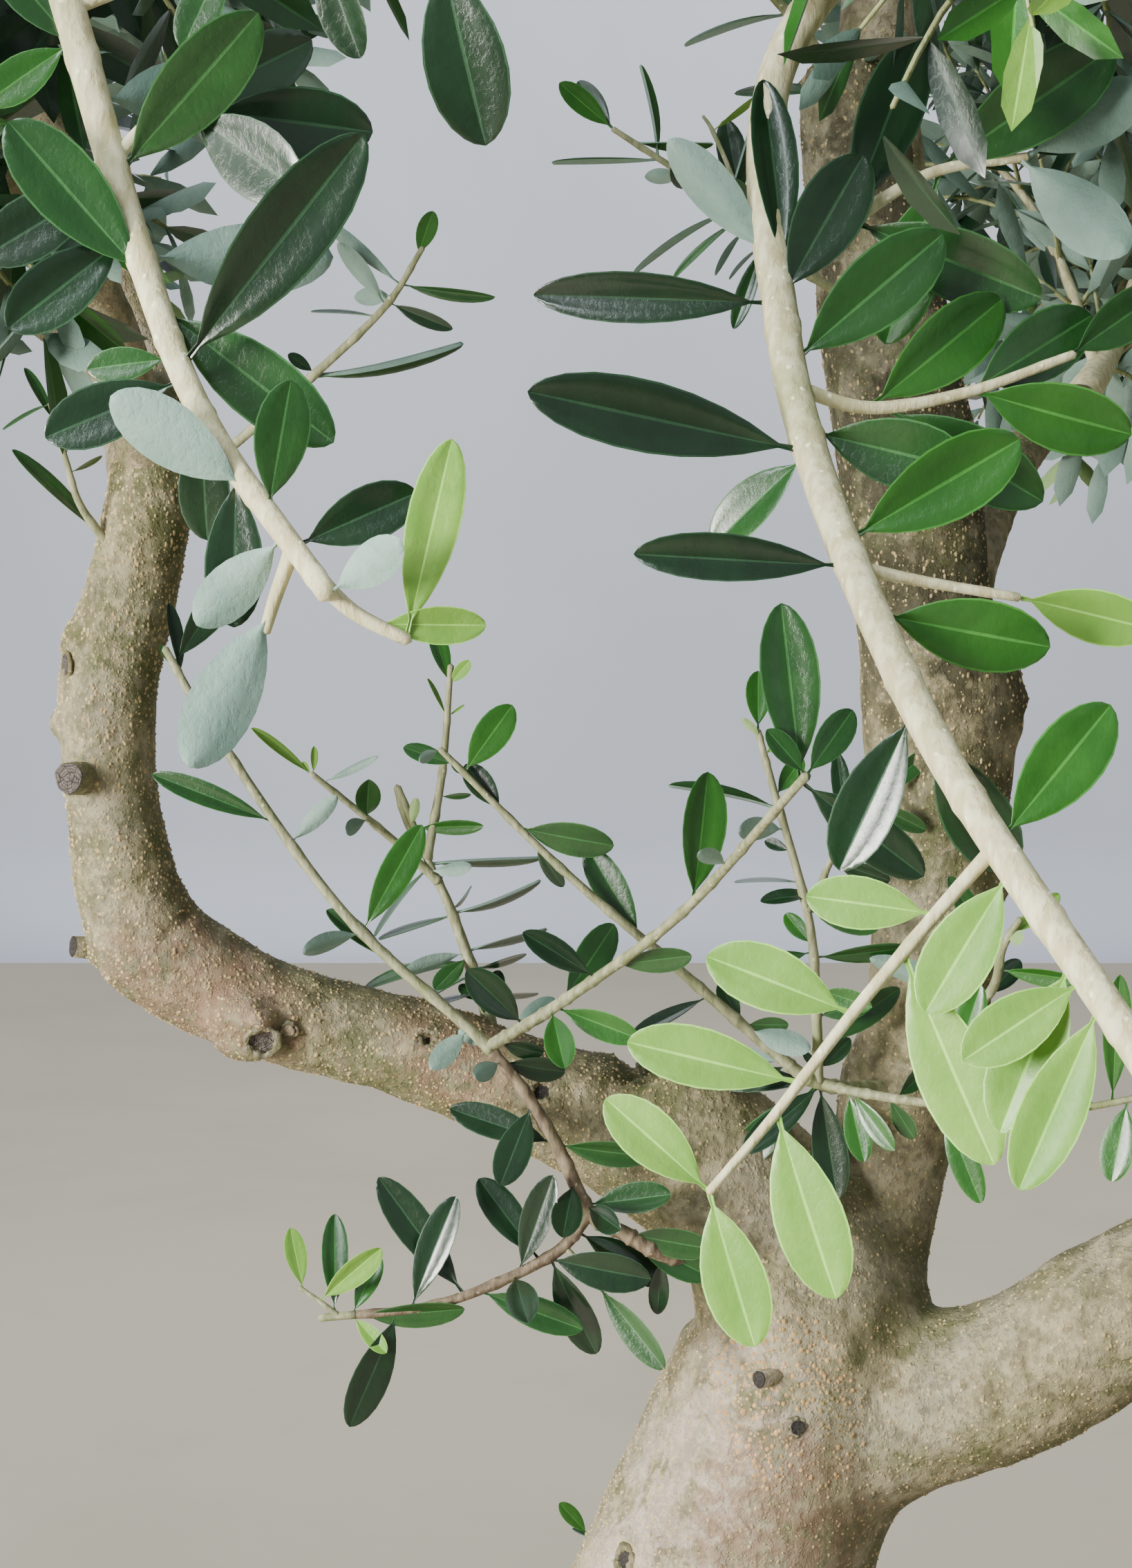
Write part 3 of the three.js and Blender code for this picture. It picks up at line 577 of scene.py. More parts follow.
def makeBarkMesh():
    heap = []
    shares = np.linspace(wood["start"], 1, 90)  # the trunk's line starts below the soil
    addTube(heap, woodLines["trunk"], wood["trunkSides"], shares, shape=trunkShape)
    for name in ("leftBough", "uprightBough", "rightBough"):
        addTube(heap, woodLines[name], wood["boughSides"], 80)
    for stub in stubs:
        addTube(heap, stubRows(stub), 20, 10)
    piece = skinOver(heap, "trunkAndBoughs", wood["voxel"])
    mesh = piece.data
    verts = vertsOf(mesh)
    # the crotches fill out, as where two surfaces melt together
    k = wood["fillet"]
    walls = np.stack([lineDistances(verts, name) for name in woodLines])
    nearest = walls.min(axis=0)
    fill = k * np.log(np.exp(-(walls - nearest) / k).sum(axis=0))
    verts = verts + normalsOf(mesh) * np.maximum(fill - wood["fillFrom"], 0)[:, None]
    crotch = np.clip(fill / wood["softReach"], wood["softLeast"], 1)[:, None] * wood["softCrotch"]
    verts = smoothed(verts, edgesOf(mesh), crotch, wood["softRounds"])
    setVerts(mesh, verts)
    # swellings, slow waves and wrinkles of the bark
    low = np.clip(1 - (verts[:, 2] - soilTop) / wood["footReach"], 0, 1)
    rise = wavesAt(verts, barkWaves) + low * wavesAt(verts, footWaves)
    for burl in burls:
        centre = woodAt(burl["on"], burl["at"])
        top = centre[:3] + unit(rowsOf(burl["toward"])) * centre[3]
        away = apart(verts, top) / burl["reach"]
        wrinkled = 1 + burlForm["wrinkle"] * np.cos(away * burlForm["wrinkles"])
        rise += burl["height"] * np.exp(-away ** 2 * burlForm["fall"]) * wrinkled
    verts = verts + normalsOf(mesh) * rise[:, None]
    end, up = woodAt("trunk", 1), woodHeading("trunk", 1)
    torn = np.exp(-(apart(verts, end[:3]) / (end[3] * tornTop["reach"])) ** 4)
    ragged = np.maximum(noiseAt(verts, tornTop["size"], 5), tornTop["deepest"]) * tornTop["height"]
    ragged += noiseAt(verts, tornTop["fineSize"], 9) * tornTop["fine"]
    verts = verts + up * (torn * ragged)[:, None]
    verts[:, 2] = np.maximum(verts[:, 2], soilTop - wood["sink"])
    setVerts(mesh, verts)
    mesh.shade_smooth()
    return piece


# sawn pegs and scars: a pixel of the photograph on the bark under each, its radius, how far it stands proud,
# the thickness of its callus ring, the depth of its hollow, its finish, the way a peg points, and the reach
# and depth of the hollow where they aren't those of the knot
knots = table("pixel radius proud callus hollow tone toward basin", [
    ((116, 1124), 6.6, 9.5, 0, 0, 0, (-0.36, -0.93, 0.05)),
    ((122, 1370), 4.4, 5.2, 0, 0, 1, (-0.86, -0.46, 0.14)),
    ((380, 1508), 6.0, -1.6, 2.2, 3.4, 0), ((419, 1490), 2.4, 1.0, 1.5, 0, 2, None, (8.0, 2.6)),
    ((619, 1502), 3.0, -2.2, 1.7, 3.2, 1), ((784, 1578), 4.2, -1.4, 1.9, 3.0, 1),
    ((1116, 1992), 3.6, 7.5, 0, 0, 1, (-0.74, -0.66, 0.08)), ((1153, 2064), 3.0, 1.4, 1.5, 0, 1),
    ((902, 2256), 4.6, -0.6, 2.2, 2.4, 1, None, (7.5, 2.4)),
    ((96, 962), 4.4, 0.8, 1.4, 0, 0, (-0.9, -0.4, 0)),
])
creases = table("width depth points", [  # folds in the bark, and pixels of the photograph along them
    (3.0, 2.6, [(950, 2214), (983, 2235), (1002, 2251), (1020, 2267)]),
    (2.4, 1.2, [(235, 1363), (256, 1343), (276, 1316)]),
    (2.4, 1.8, [(378, 1457), (411, 1447), (429, 1453), (441, 1481), (445, 1510), (437, 1532)]),
])
knotMould = dict(hollow=0.95, moundHeight=0.35, moundAt=1.7, moundWidth=0.7)  # in reaches of the hollow
foldLips = dict(height=0.4, at=1.8)  # the swelling beside a fold, in its widths
barkPiece = makeBarkMesh()


def barkUnder(pixel):  # where the ray through a pixel meets the bark, and the bark's way out there
    start, way = Vector(cameraPoint * mm), Vector(unit(rayThrough(*pixel)))
    met, place, normal, _ = barkPiece.ray_cast(start, way)
    assert met, pixel
    return np.array(place) / mm, np.array(normal)


def dentBark():  # each hollow knot sinks in, with a low mound round it, and the folds too
    verts, out = vertsOf(barkPiece.data), normalsOf(barkPiece.data)
    folds = [np.array([barkUnder(pixel)[0] for pixel in crease["points"]]) for crease in creases]
    for knot, (place, _) in zip(knots, knotPlaces):
        reach, hollow = knot.get("basin", (knot["radius"], knot["hollow"]))
        away = apart(verts, place) / reach
        mound = np.exp(-((away - knotMould["moundAt"]) / knotMould["moundWidth"]) ** 2)
        dip = np.exp(-(away / knotMould["hollow"]) ** 4) - knotMould["moundHeight"] * mound
        verts -= out * (hollow * dip)[:, None]
    for crease, fold in zip(creases, folds):
        away = np.min([apart(verts, point) for point in evenly(fold, 24)], axis=0) / crease["width"]
        dip = np.exp(-away ** 2) - foldLips["height"] * np.exp(-(away - foldLips["at"]) ** 2)
        verts -= out * (crease["depth"] * dip)[:, None]
    setVerts(barkPiece.data, verts)


knotPlaces = [barkUnder(knot["pixel"]) for knot in knots]
dentBark()
barkVerts, barkNormals = vertsOf(barkPiece.data), normalsOf(barkPiece.data)
print("bark vertices", len(barkVerts))

print("crown: limbs, stems, twigs and sprays")
# each limb leaves another at a share of it, and carries a mass of foliage round its centre
crown = table("name on at tip radii centre size seed", [
    ("left_top", "left_bough_upper", 0.93, (-292, 18, 1492), (13, 9), (-322, 30, 1650), (190, 190, 200), 11),
    ("left_outer", "left_top", 0.45, (-402, -22, 1492), (10, 8), (-530, -40, 1530), (185, 200, 190), 23),
    ("left_front", "left_bough_upper", 0.86, (-282, -182, 1452), (11, 8),
     (-312, -330, 1525), (185, 200, 190), 37),
    ("left_back", "left_bough_upper", 0.8, (-350, 175, 1418), (11, 8),
     (-440, 300, 1525), (190, 190, 190), 41),
    ("crown_top", "upright_bough", 0.86, (100, 18, 1748), (17, 11), (85, 10, 1905), (220, 220, 195), 53),
    ("crown_left", "crown_top", 0.5, (-30, 52, 1660), (12, 8), (-150, 70, 1790), (190, 200, 185), 61),
    ("crown_front", "crown_top", 0.42, (112, -160, 1585), (12, 8), (170, -335, 1570), (180, 200, 195), 79),
    ("crown_back", "crown_top", 0.66, (110, 165, 1735), (12, 8), (110, 320, 1830), (215, 200, 190), 83),
    ("back", "upright_bough", 0.5, (185, 190, 1370), (13, 8.5), (245, 345, 1500), (180, 180, 190), 97),
    ("right_top", "right_bough_upper", 0.93, (330, 30, 1492), (13, 9), (345, 40, 1660), (185, 200, 195), 101),
    ("right_outer", "right_bough_upper", 0.66, (470, -20, 1352), (12, 8.5),
     (590, -30, 1440), (185, 210, 200), 113),
    ("right_front", "right_bough_lower", 0.93, (330, -225, 1225), (13, 8.5),
     (400, -375, 1340), (200, 200, 205), 127),
    ("right_back", "right_bough_upper", 0.34, (400, 170, 1300), (12, 8),
     (480, 310, 1400), (185, 190, 200), 139),
])
weepingTwigs = {  # the stem's share that each leaves, its root and tip radius, and its points
    "left_front": (0.55, (6.2, 2.8), [
        (-222, -420, 1530), (-196, -450, 1457), (-176, -470, 1394), (-156, -495, 1348), (-122, -528, 1304)]),
    "crown_front": (0.4, (6.4, 4.2), [
        (12, -285, 1478), (3, -330, 1375), (31, -430, 1273), (81, -500, 1188), (112, -528, 1138)]),
}
skyGaps = [  # left, top, right and bottom in the photograph, where it shows open sky
    (745, 0, 930, 390), (705, 390, 765, 800), (610, 800, 1080, 1450), (1480, 960, 1638, 1360),
    (0, 640, 20, 2268),
]
growth = dict(rise=0.16, stemBend=0.4, stemPast=0.42, stemSteps=4, twigs=7, reach=0.58, spread=0.2,
              behind=0.3, first=0.08, last=0.9, radius=3.4, tip=1.7, arch=0.12, follow=0.2, room=14,
              leafRoom=9, leafy=0.45, edge=1.35, lead=0.1)
sprayShape = dict(stations=(0.2, 0.36, 0.52, 0.68, 0.83, 0.95), length=108, vary=0.35, splay=0.8, lift=0.12,
                  droop=0.16, radius=1.5, tip=0.8, tipLength=0.9)
crownLeaf = dict(spacing=14.5, first=0.12, last=0.94, length=45, width=13.5, splay=0.85, vary=0.3, roll=0.9,
                 droop=0.22, room=3)
weepingLeaf = dict(spacing=25, first=0.08, last=0.97, length=54, width=17, splay=0.9, vary=0.25, roll=0.7,
                   droop=0.1)


def limbRows(mass):
    start, end = woodAt(mass["on"], mass["at"])[:3], rowsOf(mass["tip"])
    rise = woodHeading(mass["on"], mass["at"]) * apart(end, start) * growth["rise"]
    root, tip = mass["radii"]
    t = rowsOf([0, 0.33, 0.67, 1])[:, None]
    points = start + (end - start) * t + rise * (4 * t * (1 - t) * (1 - t / 2))
    return np.hstack([points, root + (tip - root) * t])


for mass in crown:
    woodLines[mass["name"]] = limbRows(mass)
    woodSpans[mass["name"]] = (mass["name"], 0, 1)
centres, sizes = rowsOf([mass["centre"] for mass in crown]), rowsOf([mass["size"] for mass in crown])


# spots on a leaf: shares of its length and of its width
midribSpots = [(0, 0), (0.25, 0), (0.5, 0), (0.75, 0), (1, 0)]
endSpots = [(1, 0), (0.5, 0.5), (0.5, -0.5)]
bladeSpots = [(share, side) for share in (0.15, 0.35, 0.55, 0.75, 0.95) for side in (-0.35, 0, 0.35)]


def inSpace(k, points, edge=1.33, lead=0.06):  # inside a mass's reach, and nearer to it than to any other
    depth = (((points[:, None, :] - centres[None]) / sizes[None]) ** 2).sum(axis=2)
    own = depth[:, k].copy()
    depth[:, k] = 1e9
    return (own < edge) & (depth.min(axis=1) > own + lead)


def makeObstacles(pieces=12):
    rows = [(name, woodAt(name, i / pieces), woodAt(name, (i + 1) / pieces)) for name in woodSpans
            for i in range(pieces)]
    return (np.array(column) for column in zip(*rows))


obstacleOwners, obstacleStarts, obstacleEnds = makeObstacles()


def clearOfWood(points, owner, room):
    keep = obstacleOwners != owner
    a, run = obstacleStarts[keep], (obstacleEnds - obstacleStarts)[keep, :3]
    radii = np.maximum(a[:, 3], obstacleEnds[keep, 3])
    t = ((points[:, None, :] - a[:, :3]) * run).sum(axis=2) / (run * run).sum(axis=1)
    near = a[:, :3] + np.clip(t, 0, 1)[..., None] * run
    return (apart(points[:, None, :], near) > radii + room).all(axis=1)


def openSky(points):  # true where a point covers none of the photograph's open sky
    across, down = inPhoto(points)
    return ~np.any([(across > left) & (across < right) & (down > top) & (down < bottom)
                    for left, top, right, bottom in skyGaps], axis=0)


def stemRows(mass):
    tip, centre = woodAt(mass["name"], 1)[:3], rowsOf(mass["centre"])
    far = centre + (tip - centre) * -growth["stemPast"]
    bend = tip + woodHeading(mass["name"], 1) * growth["stemBend"] * apart(centre, tip)
    return curveRows(tip, bend, far, growth["stemSteps"], mass["radii"][1], growth["radius"])


def twigRows(mass, stem):
    random, golden, count = seeded(mass["seed"]), math.pi * (3 - math.sqrt(5)), growth["twigs"]
    chord = stem[-1, :3] - stem[0, :3]
    for i in range(count):
        height = 1 - 2 * (i + 0.5) / count
        ring, turn = math.sqrt(1 - height * height), i * golden + mass["seed"]
        share = growth["reach"] + growth["spread"] * random()
        way = rowsOf((ring * math.cos(turn), ring * math.sin(turn), height))
        end = way * mass["size"] * share + mass["centre"]
        t = (end - stem[0, :3]) @ chord / (chord @ chord) - growth["behind"]
        t = min(max(t, growth["first"]), growth["last"])
        start, forward = along(stem, t)[:3], heading(stem, t)
        length = apart(end, start)
        bend = (start + end) / 2 + forward * growth["follow"] * length
        bend[2] += growth["arch"] * length
        yield curveRows(start, bend, end, 3, growth["radius"], growth["tip"])


def sprayRows(start, way, length, shape):  # a side shoot that lifts first and then droops
    bend = start + way * length * 0.5 + np.array([0, 0, shape["lift"] * length])
    end = start + way * length - np.array([0, 0, shape["droop"] * length])
    return curveRows(start, bend, end, 3, shape["radius"], shape["tip"])


def spraysOn(twig, random, shape):  # opposite pairs of sprays, each pair a quarter turn from the last
    turn, rows = random() * math.pi, []
    for centre, forward, side, across in framesOf(twig, shape["stations"]):
        out = swung(side, across, turn)
        for sign in (1, -1):
            way = swung(forward, out * sign, shape["splay"])
            length = shape["length"] * (1 - shape["vary"] + shape["vary"] * 1.4 * random())
            rows.append(sprayRows(centre[:3], way, length, shape))
        turn += math.pi / 2 + 0.5 * (random() - 0.5)
    centre, forward = along(twig, 1)[:3], heading(twig, 1)
    rows.append(sprayRows(centre, forward, shape["length"] * shape["tipLength"], shape))
    return rows


# how a shoot's leaves change from its base to its tip, and how much each differs from the next
habit = dict(youngFrom=0.75, tipSize=0.62, sizeRise=2.6, firstPair=0.8, openBase=1.15, closeTip=0.4,
             splayVary=0.3, turnVary=0.3, narrowest=0.86, widthVary=0.28, lift=0.35, rootOut=0.6)


def leavesOn(rows, shape, random, tones, turn=None):
    # opposite leaves along a twig and one at its tip: root, way, up, length, width, tone and form
    count = max(2, round(lengthOf(rows, 6) * (shape["last"] - shape["first"]) / shape["spacing"]))
    shares = np.linspace(shape["first"], shape["last"], count)
    turn = random() * math.pi if turn is None else turn
    leaves = []
    frames = framesOf(rows, [*shares, 1])
    for k, (centre, forward, side, across) in enumerate(frames):
        out = swung(side, across, turn)
        young = k / count
        tone = tones[0] if young < habit["youngFrom"] else tones[1]
        size = habit["tipSize"] + (1 - habit["tipSize"]) * min(1, (1 - young) * habit["sizeRise"])
        size *= 1 if k else habit["firstPair"]
        for sign in ((1, -1) if k < count else (0,)):
            splay = shape["splay"] * (habit["openBase"] - habit["closeTip"] * young)
            splay += habit["splayVary"] * (random() - 0.5)
            way = swung(forward, out * sign, splay) if sign else forward.copy()
            way[2] -= shape["droop"] * random()
            way = unit(way)
            up = squared(forward, way) if sign else unit(side)
            up = squared(up + rowsOf([0, 0, habit["lift"]]), way)
            roll = shape["roll"] * (random() - 0.5)
            up = swung(up, np.cross(way, up), roll)
            length = shape["length"] * size * (1 - shape["vary"] / 2 + shape["vary"] * random())
            width = shape["width"] * size * (habit["narrowest"] + habit["widthVary"] * random())
            root = centre[:3] + way * centre[3] * habit["rootOut"]
            leaves.append((*root, *way, *up, length, width, tone, int(random() * 5)))
        turn += math.pi / 2 + habit["turnVary"] * (random() - 0.5)
    return leaves


def overLeaf(leaves, spots):  # points over each leaf at shares of its length and width: a row for each leaf
    root, way, up = leaves[:, :3], leaves[:, 3:6], leaves[:, 6:9]
    length, width = leaves[:, 9:10], leaves[:, 10:11]
    broad = np.cross(up, way)
    return np.stack([root + way * length * share + broad * width * side for share, side in spots], axis=1)


def treeOf(points):
    tree = kdtree.KDTree(len(points))
    for i, point in enumerate(points):
        tree.insert(point, i)
    tree.balance()
    return tree


def farFrom(tree, points, room):  # true for each row of points that keeps clear of the ones in the tree
    return np.array([all(tree.find(point)[2] > room for point in row) for row in points])


# leaves that the photograph shows one by one, read in parts of it
closeUps = {  # parts of the photograph as looked at enlarged: their corner in it, and how much larger
    "whole": ((0, 0), 0.8818), "bend": ((60, 1000), 2.119), "middle": ((360, 860), 2.306),
    "lower": ((380, 1480), 2.376), "upright": ((940, 860), 2.45), "fork": ((900, 1400), 2.125),
    "inner": ((420, 280), 4.9), "upper": ((780, 80), 3.92),
}
sideStems = [  # thin stems by close-up: the twig that each leaves, its pixels, and its radii
    ("lower", "front_shoot", [(262, 996), (205, 962), (128, 908)], (1.3, 0.8)),
    ("lower", "front_shoot", [(1036, 770), (1098, 828), (1152, 902)], (1.2, 0.8)),
    ("whole", "left_front", [(388, 735), (450, 780), (520, 816)], (2.2, 1.6)),
    ("whole", "left_front", [(372, 705), (352, 760), (338, 806)], (2.0, 1.4)),
    ("whole", "left_front", [(92, 0), (280, -60), (450, -80), (600, -60)], (2.6, 1.5)),
    ("whole", "left_front", [(140, 200), (200, 150), (270, 140)], (2.0, 1.4)),
    ("whole", "crown_front", [(1290, 1080), (1195, 1165), (1090, 1290), (990, 1420), (905, 1520)],
     (2.2, 1.2)),
    ("whole", "crown_front", [(996, 352), (1080, 286), (1190, 220), (1310, 200)], (2.6, 1.5)),
    ("whole", "crown_front", [(1012, 498), (1110, 520), (1235, 500), (1370, 452)], (2.4, 1.4)),
    ("whole", "crown_front", [(1082, 730), (1180, 742), (1300, 762)], (2.0, 1.3)),
    ("upright", "fork_shoot", [(552, 1112), (596, 1058), (640, 950), (722, 830), (806, 712)], (1.7, 1.0)),
    ("upper", "upper_shoot", [(1250, 1070), (1172, 930), (1100, 700), (985, 430), (930, 345)], (1.5, 0.7)),
    ("inner", "left_inner_shoot", [(780, 700), (830, 580), (905, 440)], (1.1, 0.8)),
    ("middle", "left_bough_shoot", [(560, 850), (530, 760), (495, 642)], (1.9, 1.7)),
    ("fork", "right_shoot", [(1100, 172), (1140, 160), (1182, 150)], (1.5, 1.2)),
    ("fork", "right_shoot", [(1130, 120), (1108, 190), (1092, 214)], (1.3, 0.9)),
]
dark, mid, fresh, young = range(4)  # ages of leaves
sprayAges = [(0.5, (dark, mid)), (0.92, (mid, fresh)), (1, (fresh, young))]  # shares of the sprays, added up
leafColumns = "rootX rootY tipX tipY width beyond face age"
